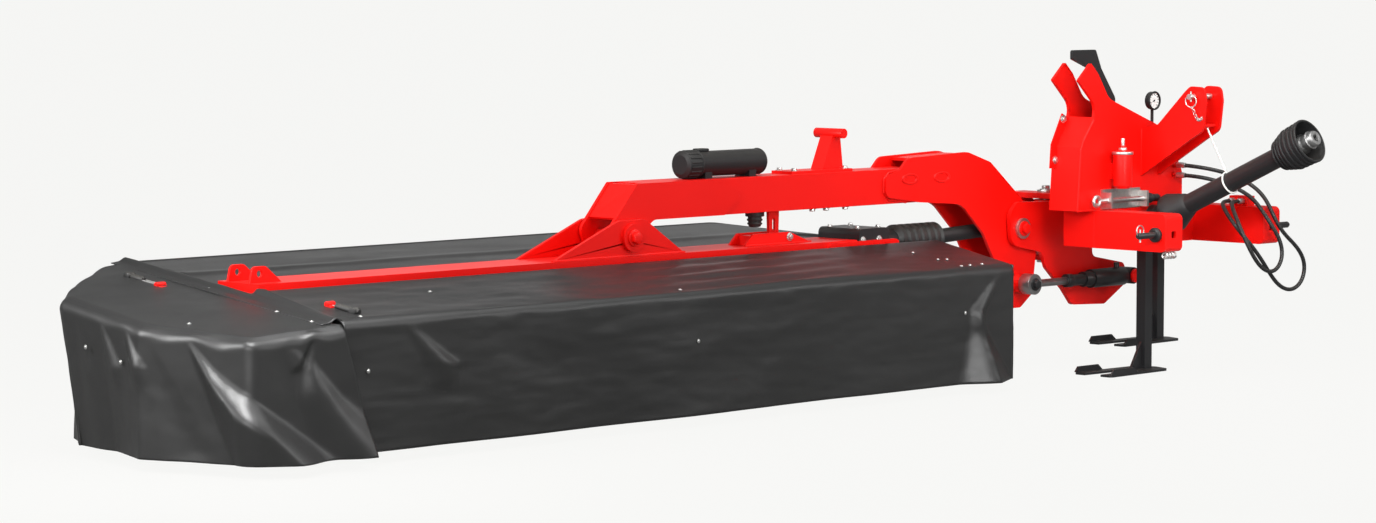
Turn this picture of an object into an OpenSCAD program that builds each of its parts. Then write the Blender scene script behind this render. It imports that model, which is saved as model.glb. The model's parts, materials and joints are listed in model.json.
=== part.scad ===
// Rear-mounted disc mower as it parks: headstock for a three-point hitch on its stand,
// swing console, folding arm, and a centre-hung cutter bar under tarpaulin covers.
// X runs along the cutter bar towards the hitch, Y to the rear, Z up. Millimetres.

/* [Layout] */
// Height of the pin that carries the bar in its middle
pivot_height = 712; // [680:1:760]
// From the bar's pin to the arm's hinge
arm_reach = 2420; // [2380:1:2560]
// From the bar's pin down to the arm's hinge
hinge_drop = 79; // [60:1:100]
// From the arm's hinge to the upright swing pin
swing_reach = 305; // [300:1:340]
// From the arm's hinge to the middle of the hitch
hitch_reach = 480; // [470:1:560]

/* [Cutter bar] */
// Distance between neighbouring discs
disc_pitch = 412; // [408:1:420]
// From the bar's pin to the middle of the disc row
row_offset = 208; // [180:1:240]
// Disc row ahead of the beam's middle
row_ahead = 50; // [30:1:60]
// Half length of an oval disc
disc_half_length = 178; // [165:1:190]
// Half width of an oval disc
disc_half_width = 140; // [125:1:145]
// Radius that the knife tips sweep
knife_reach = 256; // [245:1:262]
// Width of a knife
knife_width = 48; // [40:1:55]
// Depth of the bar's housing, front to rear
bar_depth = 250; // [220:1:270]
// Height of the bar's housing
bar_height = 52; // [44:1:60]
// Thickness of the shoes under the bar
shoe_height = 24; // [18:1:30]

/* [Frame beam] */
// Width of the beam
beam_width = 240; // [232:1:256]
// Height of the beam's section
beam_height = 100; // [80:1:120]
// From the bar's pin down to the beam's top
beam_drop = 75; // [75:1:90]
// Wall of the beam
beam_wall = 8; // [6:1:12]

/* [Arm] */
// Width of the arm's box section
arm_width = 150; // [130:1:150]
// Height of the arm's box section
arm_height = 150; // [130:1:160]
// Arm's top above the bar's pin
arm_rise = 215; // [190:1:220]
// Thickness of the arm's cheek plates
cheek = 15; // [10:1:15]
// Radius of the hinge pins
hinge_pin_r = 30; // [24:1:34]

/* [Three-point hitch] */
// Distance between the lower pins' shoulders
hitch_width = 825; // [800:1:870]
// Lower pins ahead of the arm's middle plane
hitch_ahead = 820; // [800:1:860]
// Height of the lower pins
lower_pin_height = 635; // [615:1:650]
// Radius of the lower pins
lower_pin_r = 14; // [11:1:18]
// From the lower pins up to the top link's pin
mast_height = 590; // [580:1:640]
// Radius of the top link's pin
top_pin_r = 12.5; // [10:0.5:16]
// Free width inside the top link's clevis
clevis_gap = 104; // [80:1:120]

/* [Covers] */
// Front curtain ahead of the arm's middle plane
front_reach = 600; // [570:1:640]
// Rear curtain behind the arm's middle plane
rear_reach = 650; // [600:1:680]
// From the bar's pin down to the cover's front edge
front_drop = 187; // [165:1:210]
// From the bar's pin down to the cover's rear edge
rear_drop = 32; // [15:1:60]
// Reach of the outer flap past its hinge
end_reach = 545; // [520:1:560]
// Height of the curtains' hems
hem = 45; // [40:1:90]
// Thickness of the cover cloth
cloth = 5; // [3:1:7]

/* [Lift cylinder] */
// Radius of the barrel
barrel_r = 42; // [34:1:46]
// Radius of the rod
rod_r = 17; // [14:1:22]
// Length between the pins when parked
cylinder_length = 700; // [660:1:740]

/* [Drive line] */
// Radius of the shaft's guard tube
shaft_r = 32; // [28:1:36]
// Radius of the ball joints
ball_r = 60; // [56:1:64]
// Radius of the drive shaft's guard towards the tractor
guard_r = 44; // [38:1:52]
// Rise of that shaft, in degrees
pto_rise = 25; // [18:1:28]
// Length of that shaft from its joint to its yoke's end
pto_length = 905; // [780:1:940]

/* [Stand] */
// Width of the stand's square leg
leg_width = 50; // [40:1:54]
// Length of the stand's feet
foot_length = 480; // [400:1:560]

/* [Hidden] */
$fn = 48;
arc_steps = 6;
fit = 0.3;
disc_count = 9;

red = [0.82, 0.05, 0.04];
black = [0.06, 0.06, 0.06];
grey = [0.2, 0.2, 0.2];
zinc = [0.72, 0.72, 0.7];
steel = [0.5, 0.5, 0.52];
white = [0.9, 0.9, 0.88];

// disc row
row_y = -row_ahead;
first_x = -row_offset + (disc_count - 1) / 2 * disc_pitch;
last_x = -row_offset - (disc_count - 1) / 2 * disc_pitch;
bar_top = shoe_height + bar_height;
boss_h = 6;
hub_h = 8;
knife_t = 5;
flange_z = bar_top + boss_h + fit + hub_h;
dome_h = 42;
disc_top = flange_z + dome_h;
bar_front = row_y - bar_depth / 2;
bar_rear = row_y + bar_depth / 2;

// beam and bar pivot
beam_top = pivot_height - beam_drop;
beam_bottom = beam_top - beam_height;
beam_y = beam_width / 2;
end_x = last_x - 104;
beam_x0 = end_x + 32;
gear_half = 95;
gear_drop = 108;
beam_x1 = first_x - gear_half - 15;
gear_end = first_x + 150;
side_plate = 12;

// arm
arm_top = pivot_height + arm_rise;
arm_bottom = arm_top - arm_height;
arm_y = arm_width / 2;
cheek_y = arm_y + cheek;
bracket_y = cheek_y + 5;
bracket_t = 15;
fork_r = beam_drop - 8;
hinge_x = arm_reach;
hinge_z = pivot_height - hinge_drop;
tube_x0 = 95;
tube_x1 = hinge_x - 660;

// console
console_y = cheek_y + 8;
console_t = 20;
swing_x = hinge_x + swing_reach;
web_top = hinge_z + 112;
web_low = hinge_z - 130;
lug_t = 25;
lug_gap = 6;
lug_r = 62;
barrel_hinge_r = 52;
swing_pin_r = 25;
stub_r = 50;
seat = 46;

// cylinder: rod eye on the arm's lobe, base pin on the console's tail
eye_dx = -10;
eye_dz = -245;
eye_x = hinge_x + eye_dx;
eye_z = hinge_z + eye_dz;
base_x = eye_x + cylinder_length;
base_z = eye_z;
cyl_y = -(console_y + console_t + barrel_r + 15);
eye_w = 60;
boss_r = 40;
base_pin_r = 20;
eye_r = 46;
base_eye_r = 38;
barrel_len = cylinder_length - 260;
barrel_main = 280;
post_y = console_y + console_t + 35;
stop_x = 935;

// hitch and headstock
hitch_x = hinge_x + hitch_reach;
beam2_h = 165;
beam2_z0 = lower_pin_height - 75;
beam2_z1 = beam2_z0 + beam2_h;
beam2_y0 = -475;
beam2_y1 = -300;
hitch_x0 = hitch_x - hitch_width / 2;
hitch_x1 = hitch_x + hitch_width / 2;
link_w = 120;
link_front = -hitch_ahead - 50;
top_pin_y = -hitch_ahead + 70;
top_pin_z = lower_pin_height + mast_height;
mast_t = 15;
mast_front = beam2_y0 + 15;
mast_rear = beam2_y1 - mast_t;
clevis_t = 15;
pto_z = beam2_z1 - 45;
pto_y = beam2_y0 - 65;
pto_ball = 64;
stand_x = hitch_x - 105;
stand_y = beam2_y0 - 40;
collar_t = 10;
gear_x0 = max(hitch_x - 90, swing_x + 85);

// covers
roof = beam_top - 25;
front_edge = pivot_height - front_drop;
rear_edge = pivot_height - rear_drop;
hinge_y = -(beam_y + side_plate + 30);
rear_y = beam_y;
front_tilt = atan((roof - front_edge) / (front_reach + hinge_y));
front_len = (front_reach + hinge_y) / cos(front_tilt);
rear_slope = (rear_edge - roof) / (rear_reach - rear_y);
rear_tilt = atan(rear_slope);
rear_len = (rear_reach - rear_y) / cos(rear_tilt);
cover_x0 = end_x + 30;
curtain_x0 = end_x + 115;
cover_x1 = first_x + knife_reach + 94;
rear_x1 = first_x - 210;
end_slope = (rear_edge - front_edge) / (rear_reach + front_reach);
end_droop = 60 / 540;
end_tilt = atan(end_slope);
end_fall = atan(end_droop);
function end_z(p) = front_edge + (p[1] + front_reach) * end_slope + (p[0] - end_x) * end_droop;
end_path = [[end_x + 99, -front_reach - 65], [end_x - end_reach + 160, -front_reach + 10],
  [end_x - end_reach, -160], [end_x - end_reach + 30, 360], [end_x - end_reach + 215, rear_reach - 130],
  [end_x - 130, rear_reach - 5], [end_x, rear_reach - 5]];
rear_path = [[cover_x0, rear_reach], [rear_x1, rear_reach], [rear_x1 + 240, rear_reach - 340],
  [first_x + 160, beam_y + 35]];
rail_r = 12;
rod_hinge_r = 8;
ear_x = beam_x0 + 120;
ear_step = (gear_end - 60 - ear_x) / 3;

// the whole part is centred over its box
mid_x = (end_x - end_reach - cloth + hitch_x1 + 130) / 2;
mid_y = (rear_reach + cloth + pto_y - cos(pto_rise) * pto_length - sin(pto_rise) * 40) / 2;

// hoses: points from the mast's right edge, down in a loop and up to the coupler rest
hose_r = 9;
hose_sides = 10;
hose_steps = 4;
hose_x = hitch_width / 2;
function hose_at(q) = [for (p = q) [hitch_x + p[0] * hose_x, p[1], beam2_z1 + p[2]]];
hose_a = hose_at([
  [0.412, mast_front - 18 - fit, 180], [0.412, mast_front - 36, 180], [0.412, mast_front - 54, 180],
  [0.827, -600, 146], [0.875, -720, 96], [0.696, -870, 20], [0.807, -925, -64], [1.069, -940, -158],
  [1.202, -945, -251], [1.079, -945, -324], [0.827, -945, -336], [0.592, -945, -290], [0.388, -935, -188],
  [0.196, -905, -93], [0.49, -770, -16], [0.61, -708, 12], [0.66, -690, 22],
  [0.69, -688, 23], [0.725, -688, 23], [0.76, -688, 23]]);
hose_b = hose_at([
  [0.412, mast_front - 18 - fit, 135], [0.412, mast_front - 36, 135], [0.412, mast_front - 54, 135],
  [0.756, -600, 102], [0.703, -740, 51], [0.555, -880, 19], [0.63, -935, -73], [0.73, -955, -155],
  [0.647, -965, -228], [0.434, -965, -232], [0.235, -965, -175], [0.177, -955, -103], [0.37, -870, -40],
  [0.47, -800, 2], [0.58, -757, 20], [0.64, -743, 23],
  [0.69, -738, 23], [0.725, -738, 23], [0.76, -738, 23]]);

function last(q) = q[len(q) - 1];
function unit(v) = v / norm(v);
function corner(a, b, c) =
  b[2] == 0 ? [[b[0], b[1]]] :
  let (p = [b[0], b[1]],
    u = unit([a[0], a[1]] - p), v = unit([c[0], c[1]] - p),
    half = acos(max(-1, min(1, u * v))) / 2,
    m = p + unit(u + v) * b[2] / sin(half),
    s = p + u * b[2] / tan(half) - m, e = p + v * b[2] / tan(half) - m,
    a0 = atan2(s[1], s[0]), a1 = atan2(e[1], e[0]),
    d = a1 - a0 > 180 ? a1 - a0 - 360 : a1 - a0 < -180 ? a1 - a0 + 360 : a1 - a0)
  [for (i = [0:arc_steps]) m + b[2] * [cos(a0 + d * i / arc_steps), sin(a0 + d * i / arc_steps)]];
function rounded(q) = [for (i = [0:len(q) - 1])
  each corner(q[(i + len(q) - 1) % len(q)], q[i], q[(i + 1) % len(q)])];
function prism_faces(n) = concat([[for (i = [0:n - 1]) i]], [[for (i = [n - 1:-1:0]) n + i]],
  [for (i = [0:n - 1]) let (j = (i + 1) % n) [i, n + i, n + j, j]]);
// faces of a wall along an open path: four points at each stop, near and far side, low and high
function wall_faces(n) = concat([[0, 1, 3, 2]], [[4 * n - 4, 4 * n - 2, 4 * n - 1, 4 * n - 3]],
  [for (i = [0:n - 2]) for (f = [[0, 4, 5, 1], [2, 3, 7, 6], [1, 5, 7, 3], [0, 2, 6, 4]]) [for (k = f) 4 * i + k]]);
// path moved sideways by d, corner by corner
function side(p, q) = let (u = unit(q - p)) [u[1], -u[0]];
function moved(q, d) = [for (i = [0:len(q) - 1])
  let (a = i == 0 ? side(q[0], q[1]) : side(q[i - 1], q[i]),
    b = i == len(q) - 1 ? a : side(q[i], q[i + 1]), m = unit(a + b))
  q[i] + m * d / (m * a)];
// smooth curve through hand-set points
function bend(a, b, c, d, t) = 0.5 * ((2 * b) + (c - a) * t
  + (2 * a - 5 * b + 4 * c - d) * t * t + (3 * b - a - 3 * c + d) * t * t * t);
function smooth(q, n) = concat([for (i = [0:len(q) - 2]) for (k = [0:n - 1])
  bend(q[max(i - 1, 0)], q[i], q[i + 1], q[min(i + 2, len(q) - 1)], k / n)], [q[len(q) - 1]]);
function ring(p, t, r, n) = let (u = unit(cross(t, [0.9, 0.1, 0.3])), v = cross(t, u))
  [for (k = [0:n - 1]) p + r * (cos(360 * k / n) * u + sin(360 * k / n) * v)];
function tangent(q, i) = unit(q[min(i + 1, len(q) - 1)] - q[max(i - 1, 0)]);
function tube_faces(m, n) = concat([[for (k = [n - 1:-1:0]) k]], [[for (k = [0:n - 1]) (m - 1) * n + k]],
  [for (i = [0:m - 2]) for (k = [0:n - 1]) let (j = (k + 1) % n)
    [i * n + k, i * n + j, (i + 1) * n + j, (i + 1) * n + k]]);

module placed() { translate([-mid_x, -mid_y, 0]) children(); }
module slab_xz(y0, y1) { translate([0, y1, 0]) rotate([90, 0, 0]) linear_extrude(y1 - y0) children(); }
module slab_yz(x0, x1) { translate([x0, 0, 0]) rotate([90, 0, 90]) linear_extrude(x1 - x0) children(); }
module slab_xy(z0, z1) { translate([0, 0, z0]) linear_extrude(z1 - z0) children(); }
module rod_x(x0, x1, y, z, r) { translate([x0, y, z]) rotate([0, 90, 0]) cylinder(h = x1 - x0, r = r); }
module rod_y(x, y0, y1, z, r) { translate([x, y1, z]) rotate([90, 0, 0]) cylinder(h = y1 - y0, r = r); }
module rod_z(x, y, z0, z1, r) { translate([x, y, z0]) cylinder(h = z1 - z0, r = r); }
module box(a, b) { translate(a) cube(b - a); }
module prism(q, lo, hi) {
  polyhedron(points = concat([for (i = [0:len(q) - 1]) [q[i][0], q[i][1], lo[i]]],
    [for (i = [0:len(q) - 1]) [q[i][0], q[i][1], hi[i]]]), faces = prism_faces(len(q)));
}
module wall(near, far, lo, hi) {
  polyhedron(points = [for (i = [0:len(near) - 1]) each [[near[i][0], near[i][1], lo], [near[i][0], near[i][1], hi[i]],
    [far[i][0], far[i][1], lo], [far[i][0], far[i][1], hi[i]]]], faces = wall_faces(len(near)));
}
module tube(q, r, n) {
  polyhedron(points = [for (i = [0:len(q) - 1]) each ring(q[i], tangent(q, i), r, n)],
    faces = tube_faces(len(q), n));
}
module both_sides() { children(); mirror([0, 1, 0]) children(); }

// headstock
module cross_beam() {
  color(red) placed() difference() {
    box([hitch_x0, beam2_y0, beam2_z0], [hitch_x1, beam2_y1, beam2_z1]);
    box([hitch_x0 + collar_t, beam2_y0 + collar_t, beam2_z0 + collar_t],
      [hitch_x1 + 1, beam2_y1 - collar_t, beam2_z1 - collar_t]);
  }
}
module hitch_arms() {
  color(red) placed() for (x = [hitch_x0, hitch_x1 - link_w]) difference() {
    slab_yz(x, x + link_w) polygon(rounded([[beam2_y0, beam2_z0, 0], [beam2_y0, beam2_z1, 0],
      [link_front, beam2_z1, 25], [link_front, beam2_z0, 25]]));
    box([x + collar_t, link_front + collar_t + 5, beam2_z0 + collar_t],
      [x + link_w - collar_t, beam2_y0 + 1, beam2_z1 - collar_t]);
    box([x + link_w / 2 - 15, link_front - 1, lower_pin_height - 15],
      [x + link_w / 2 + 15, link_front + collar_t + 6, lower_pin_height + 15]);
  }
  // rest that holds the hoses' couplers
  color(red) placed() box([last(hose_a)[0] + fit, last(hose_b)[1] - 25, beam2_z1], [last(hose_a)[0] + 55, last(hose_a)[1] + 25, beam2_z1 + 45]);
}
module lower_pin() {
  rotate_extrude() polygon([[0, 0], [32, 0], [32, 14], [20, 18], [lower_pin_r, 18],
    [lower_pin_r, 122], [lower_pin_r - 4, 130], [0, 130]]);
}
module hitch_pins() {
  color(steel) placed() for (s = [-1, 1]) difference() {
    translate([s < 0 ? hitch_x0 : hitch_x1, -hitch_ahead, lower_pin_height])
      rotate([0, s * 90, 0]) lower_pin();
    rod_z((s < 0 ? hitch_x0 : hitch_x1) + s * 112, -hitch_ahead, lower_pin_height - 40,
      lower_pin_height + 40, 5);
  }
}
mast_outline = [[hitch_x0 - 100, beam2_z1, 0], [hitch_x0 - 78, beam2_z1 + 280, 40],
  [hitch_x0 + 40, beam2_z1 + 445, 70], [hitch_x0 - 97, top_pin_z + 73, 6], [hitch_x0 - 12, top_pin_z + 149, 6],
  [hitch_x0 + 40, top_pin_z + 100, 25], [hitch_x0 + 115, top_pin_z - 10, 90], [hitch_x + 40, top_pin_z - 132, 60],
  [hitch_x + 130, top_pin_z - 190, 40], [hitch_x + 230, beam2_z1 + 150, 60], [hitch_x + 230, beam2_z1, 0]];
module mast() {
  color(red) placed() {
    for (y = [mast_front, mast_rear]) slab_xz(y, y + mast_t) polygon(rounded(mast_outline));
    // webs that close the box between the two plates
    slab_xz(mast_front + mast_t, mast_rear) {
      polygon([[hitch_x0 - 100, beam2_z1], [hitch_x0 - 78, beam2_z1 + 280], [hitch_x0 + 15, beam2_z1 + 410],
        [hitch_x0 + 27, beam2_z1 + 401], [hitch_x0 - 64, beam2_z1 + 274], [hitch_x0 - 86, beam2_z1]]);
      polygon([[hitch_x0 + 290, top_pin_z - 74], [hitch_x + 20, top_pin_z - 125],
        [hitch_x + 15, top_pin_z - 139], [hitch_x0 + 285, top_pin_z - 88]]);
      polygon([[hitch_x + 216, beam2_z1], [hitch_x + 216, beam2_z1 + 140],
        [hitch_x + 229, beam2_z1 + 140], [hitch_x + 229, beam2_z1]]);
    }
    // bulkhead fittings of the hoses
    for (q = [hose_a, hose_b]) rod_y(q[0][0], q[0][1] + fit, mast_front, q[0][2], 14);
    // flange plate on the left edge
    slab_xz(mast_rear - 6, mast_rear) polygon([[hitch_x0 - 120, beam2_z1 + 185], [hitch_x0 - 112, beam2_z1 + 290],
      [hitch_x0 - 38, beam2_z1 + 425], [hitch_x0 + 10, beam2_z1 + 400], [hitch_x0 - 60, beam2_z1 + 300], [hitch_x0 - 70, beam2_z1 + 185]]);
  }
}
clevis_outline = [[mast_front, beam2_z1 + 140, 0], [mast_front, top_pin_z - 150, 0],
  [mast_front - 90, top_pin_z - 130, 40], [top_pin_y + 50, top_pin_z + 20, 50], [top_pin_y + 20, top_pin_z + 45, 25],
  [top_pin_y - 55, top_pin_z + 42, 30], [top_pin_y - 65, top_pin_z - 20, 40], [top_pin_y - 50, top_pin_z - 150, 40],
  [top_pin_y + 10, top_pin_z - 185, 50]];
rung_y = top_pin_y - 25;
rung_z = top_pin_z - 130;
module clevis_plates() {
  color(red) placed() {
    for (s = [-1, 1]) slab_yz(hitch_x + s * (clevis_gap + clevis_t) / 2 - clevis_t / 2,
      hitch_x + s * (clevis_gap + clevis_t) / 2 + clevis_t / 2) difference() {
      polygon(rounded(clevis_outline));
      translate([top_pin_y, top_pin_z]) circle(r = top_pin_r);
    }
    rod_x(hitch_x - clevis_gap / 2 - clevis_t, hitch_x + clevis_gap / 2 + clevis_t,
      rung_y, rung_z, 8);
  }
}
module top_pin() {
  color(zinc) placed() {
    rod_x(hitch_x - clevis_gap / 2 - clevis_t - 35, hitch_x + clevis_gap / 2 + clevis_t + 50,
      top_pin_y, top_pin_z, top_pin_r);
    rod_x(hitch_x + clevis_gap / 2 + clevis_t, hitch_x + clevis_gap / 2 + clevis_t + 10,
      top_pin_y, top_pin_z, top_pin_r + 10);
  }
}
upper_lug = web_top + lug_gap;
lower_lug = web_low - lug_gap;
module lug_plan(y0) {
  difference() {
    union() {
      translate([swing_x, 0]) circle(r = lug_r);
      translate([swing_x - lug_r, y0]) square([2 * lug_r, post_y + 30 - y0]);
    }
    translate([swing_x, 0]) circle(r = swing_pin_r);
  }
}
module hinge_lugs() {
  color(red) placed() {
    slab_xy(upper_lug, upper_lug + lug_t) lug_plan(mast_rear + mast_t);
    slab_xy(lower_lug - lug_t, lower_lug) lug_plan(0);
    box([swing_x - lug_r, post_y, lower_lug - lug_t], [swing_x + lug_r, post_y + 30, upper_lug + lug_t]);
  }
}
module hinge_pins() {
  color(zinc) placed() {
    rod_z(swing_x, 0, web_top - 45, upper_lug + lug_t, swing_pin_r);
    rod_z(swing_x, 0, upper_lug + lug_t, upper_lug + lug_t + 12, swing_pin_r + 14);
    rod_z(swing_x, 0, lower_lug - lug_t, web_low + 60, swing_pin_r);
    rod_z(swing_x, 0, lower_lug - lug_t - 12, lower_lug - lug_t, swing_pin_r + 14);
  }
}
module head_gearbox() {
  color(black) placed() {
    difference() {
      union() {
        slab_xz(-console_y + 10, console_y - 10) polygon(rounded([[gear_x0, hinge_z - 80, 25], [gear_x0, pto_z + 65, 25],
          [hitch_x + 90, pto_z + 65, 25], [hitch_x + 90, hinge_z - 80, 25]]));
        rod_x(swing_x + seat, gear_x0 + 10, 0, hinge_z, stub_r);
      }
      translate([swing_x, 0, hinge_z]) sphere(r = ball_r + fit);
    }
    rod_y(hitch_x, beam2_y1, -console_y + 10, pto_z, 58);
  }
}
module accumulator() {
  color(red) placed() translate([hitch_x0 + 142, mast_front - 58, beam2_z1 + 94]) {
    rotate_extrude() polygon([[0, 0], [30, 0], [43, 14], [43, 150], [30, 168], [14, 172], [14, 190], [0, 190]]);
    box([-20, 38, 40], [20, 58, 110]);
  }
}
module gauge() {
  color(black) placed() translate([hitch_x + 45, mast_front + mast_t + 14, top_pin_z - 28]) {
    rotate([90, 0, 0]) rotate_extrude() polygon([[0, -12], [38, -12], [40, -8], [40, 14], [36, 14], [36, 9], [0, 9]]);
    translate([0, 0, -160]) cylinder(h = 125, r = 7);
    box([-14, -14, -160], [14, 0, -125]);
  }
}
bracket_x = hitch_x0 + 60;
module release_rod() {
  color(zinc) placed() {
    box([bracket_x, mast_front - 12, beam2_z1 + 3], [bracket_x + 265, mast_front, beam2_z1 + 90]);
    for (x = [bracket_x, bracket_x + 253]) box([x, mast_front - 62, beam2_z1 + 8], [x + 12, mast_front - 12, beam2_z1 + 78]);
    rod_x(bracket_x - 55, bracket_x + 275, mast_front - 38, beam2_z1 + 42, 11);
    translate([bracket_x - 72, mast_front - 38, beam2_z1 + 42]) rotate([90, 0, 0])
      rotate_extrude() translate([20, 0]) circle(r = 9);
  }
}
latch_y = (mast_front + mast_rear + mast_t) / 2;
module transport_latch() {
  color(black) placed() {
    slab_xz(latch_y - 8, latch_y + 8) polygon(rounded([[hitch_x0 - 50, top_pin_z + 165, 8], [hitch_x0 - 50, top_pin_z + 205, 10],
      [hitch_x0 + 110, top_pin_z + 205, 14], [hitch_x0 + 150, top_pin_z + 120, 20], [hitch_x0 + 252, top_pin_z - 15, 30],
      [hitch_x0 + 228, top_pin_z - 102, 30], [hitch_x0 + 165, top_pin_z - 102, 30], [hitch_x0 + 150, top_pin_z - 20, 20], [hitch_x0 + 60, top_pin_z + 125, 20]]));
    rod_y(hitch_x0 + 205, mast_front + mast_t, mast_rear, top_pin_z - 68, 12);
  }
}
module input_guard() {
  color(black) placed() {
    rod_y(hitch_x, pto_y, beam2_y0, pto_z, pto_ball - 10);
    translate([hitch_x, pto_y, pto_z]) sphere(r = pto_ball);
  }
}
module on_pto() { translate([hitch_x, pto_y, pto_z]) rotate([90 - pto_rise, 0, 0]) children(); }
bush_r = 30;
module pto_guard() {
  color(black) placed() on_pto() difference() {
    rotate_extrude() polygon([[0, 40], [88, 40], [88, 62], [guard_r + 8, 150], [guard_r, 160],
      [guard_r, pto_length - 215], [guard_r + 14, pto_length - 205], [90, pto_length - 130],
      [95, pto_length - 35], [0, pto_length - 35]]);
    sphere(r = pto_ball + fit);
    translate([0, 0, 200]) cylinder(h = pto_length, r = bush_r + fit);
    translate([0, 0, pto_length - 190]) cylinder(h = 200, r1 = 42, r2 = 108);
  }
}
module pto_yoke() {
  color(steel) placed() on_pto() difference() {
    union() {
      translate([0, 0, 202]) cylinder(h = pto_length - 352, r = bush_r);
      rotate_extrude() polygon([[0, pto_length - 160], [34, pto_length - 160], [44, pto_length - 120],
        [44, pto_length - 70], [36, pto_length - 55], [36, pto_length - 12], [32, pto_length], [0, pto_length]]);
    }
    translate([0, 0, pto_length - 90]) cylinder(h = 100, r = 17.4);
    for (a = [0, 90]) rotate([0, 0, a]) translate([0, 0, pto_length - 108]) rotate([0, 90, 0])
      translate([0, 0, 38]) cylinder(h = 20, r = 14);
  }
}
sling_s = 400;
module pto_sling() {
  sling_from = [hitch_x, rung_y, rung_z - 10];
  sling_to = [hitch_x, pto_y - cos(pto_rise) * sling_s + sin(pto_rise) * (guard_r + 8),
    pto_z + sin(pto_rise) * sling_s + cos(pto_rise) * (guard_r + 8)];
  sling = sling_to - sling_from;
  color(white) placed() {
    translate(sling_from) rotate([atan2(norm([sling[0], sling[1]]), sling[2]), 0, 0])
      cylinder(h = norm(sling), r = 4);
    on_pto() translate([0, 0, sling_s]) rotate_extrude() translate([guard_r + 4 + 2 * fit, 0]) circle(r = 4);
  }
}
module hoses() {
  color(black) placed() {
    tube(smooth(hose_a, hose_steps), hose_r, hose_sides);
    tube(smooth(hose_b, hose_steps), hose_r, hose_sides);
  }
}
leg2_x = hitch_x + 300;
leg2_y = beam2_y1 + 35;
leg2_up = 90;
leg_half = leg_width / 2;
module stand_socket() {
  color(black) placed() difference() {
    union() {
      box([stand_x - leg_half - 10, beam2_y0 - 80, beam2_z0 - 20], [stand_x + leg_half + 10, beam2_y0, beam2_z1 - 15]);
      box([leg2_x - leg_half - 10, beam2_y1, beam2_z0 - 20], [leg2_x + leg_half + 10, leg2_y + leg_half + 15, beam2_z1 - 15]);
    }
    for (p = [[stand_x, stand_y], [leg2_x, leg2_y]]) box([p[0] - leg_half - fit, p[1] - leg_half - fit, beam2_z0 - 21],
      [p[0] + leg_half + fit, p[1] + leg_half + fit, beam2_z1]);
  }
}
// leg with a forked foot that points away from the tractor's wheel
module leg(top) {
  box([-leg_half, -leg_half, 8], [leg_half, leg_half, top]);
  slab_xy(0, 10) difference() {
    polygon(rounded([[120 - foot_length, -105, 15], [60, -90, 30], [90, 0, 40], [60, 90, 30], [120 - foot_length, 105, 15]]));
    polygon(rounded([[100 - foot_length, -45, 0], [-110, -35, 20], [-110, 35, 20], [100 - foot_length, 45, 0]]));
  }
  slab_xz(-6, 6) polygon([[-100, 10], [-leg_half, 10], [-leg_half, 130]]);
  for (y = [-105, 97]) slab_xz(y, y + 8) polygon([[120 - foot_length, 10], [-170, 10], [-200, 34], [140 - foot_length, 34]]);
}
module stand() {
  color(black) placed() {
    translate([stand_x, stand_y, 0]) leg(beam2_z1 - 125);
    translate([leg2_x, leg2_y, leg2_up]) leg(beam2_z1 + 20 - leg2_up);
  }
}

// console
console_front = [[hinge_x - 85, hinge_z + 67, 60], [hinge_x - 30, hinge_z + 119, 40], [hinge_x + 180, web_top, 40],
  [swing_x + 40, web_top, 20], [swing_x + 40, hinge_z - 20, 20], [swing_x + 190, hinge_z - 45, 30],
  [swing_x + 190, base_z + 95, 30], [base_x + 42, base_z + 52, 30], [base_x + 42, base_z - 45, 30],
  [base_x - 105, base_z - 128, 30], [swing_x + 50, base_z - 118, 30], [swing_x - 15, base_z - 45, 30],
  [hinge_x + 170, base_z + 60, 40], [hinge_x + 140, hinge_z - 113, 60], [hinge_x - 70, hinge_z - 73, 60]];
console_rear = [[hinge_x - 85, hinge_z + 67, 60], [hinge_x - 30, hinge_z + 119, 40], [hinge_x + 180, web_top, 40],
  [swing_x + 40, web_top, 20], [swing_x + 40, web_low, 20], [hinge_x + 160, web_low, 30],
  [hinge_x + 110, hinge_z - 113, 40], [hinge_x - 70, hinge_z - 73, 60]];
module console_plates() {
  color(red) placed() {
    slab_xz(-console_y - console_t, -console_y) difference() {
      polygon(rounded(console_front));
      translate([hinge_x, hinge_z]) circle(r = hinge_pin_r);
    }
    slab_xz(console_y, console_y + console_t) difference() {
      polygon(rounded(console_rear));
      translate([hinge_x, hinge_z]) circle(r = hinge_pin_r);
    }
  }
}
module console_webs() {
  color(red) placed() {
    for (z = [web_top - 45, web_low + 8]) difference() {
      box([swing_x - 68, -console_y, z], [swing_x + 40, console_y, z + 25]);
      rod_z(swing_x, 0, z - 1, z + 26, swing_pin_r + fit);
    }
    for (z = [[web_top - 20, web_top], [web_low, web_low + 8], [web_low + 33, web_low + 60]])
      difference() {
        rod_z(swing_x, 0, z[0], z[1], barrel_hinge_r);
        rod_z(swing_x, 0, z[0] - 1, z[1] + 1, swing_pin_r + fit);
      }
    // pin that carries the cylinder's base
    rod_y(base_x, cyl_y - eye_w / 2 - 12, -console_y - console_t, base_z, base_pin_r);
    rod_y(base_x, cyl_y - eye_w / 2 - 20, cyl_y - eye_w / 2 - 5, base_z, base_pin_r + 12);
  }
}
module fold_pins() {
  color(zinc) placed() both_sides() {
    rod_y(hinge_x, arm_y - 5, console_y + console_t, hinge_z, hinge_pin_r);
    rod_y(hinge_x, console_y + console_t, console_y + console_t + 12, hinge_z, hinge_pin_r + 16);
  }
}
module joint_stub() {
  color(black) placed() difference() {
    union() {
      rod_x(hinge_x + seat, swing_x, 0, hinge_z, stub_r);
      translate([swing_x, 0, hinge_z]) sphere(r = ball_r);
    }
    translate([hinge_x, 0, hinge_z]) sphere(r = ball_r + fit);
  }
}
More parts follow.
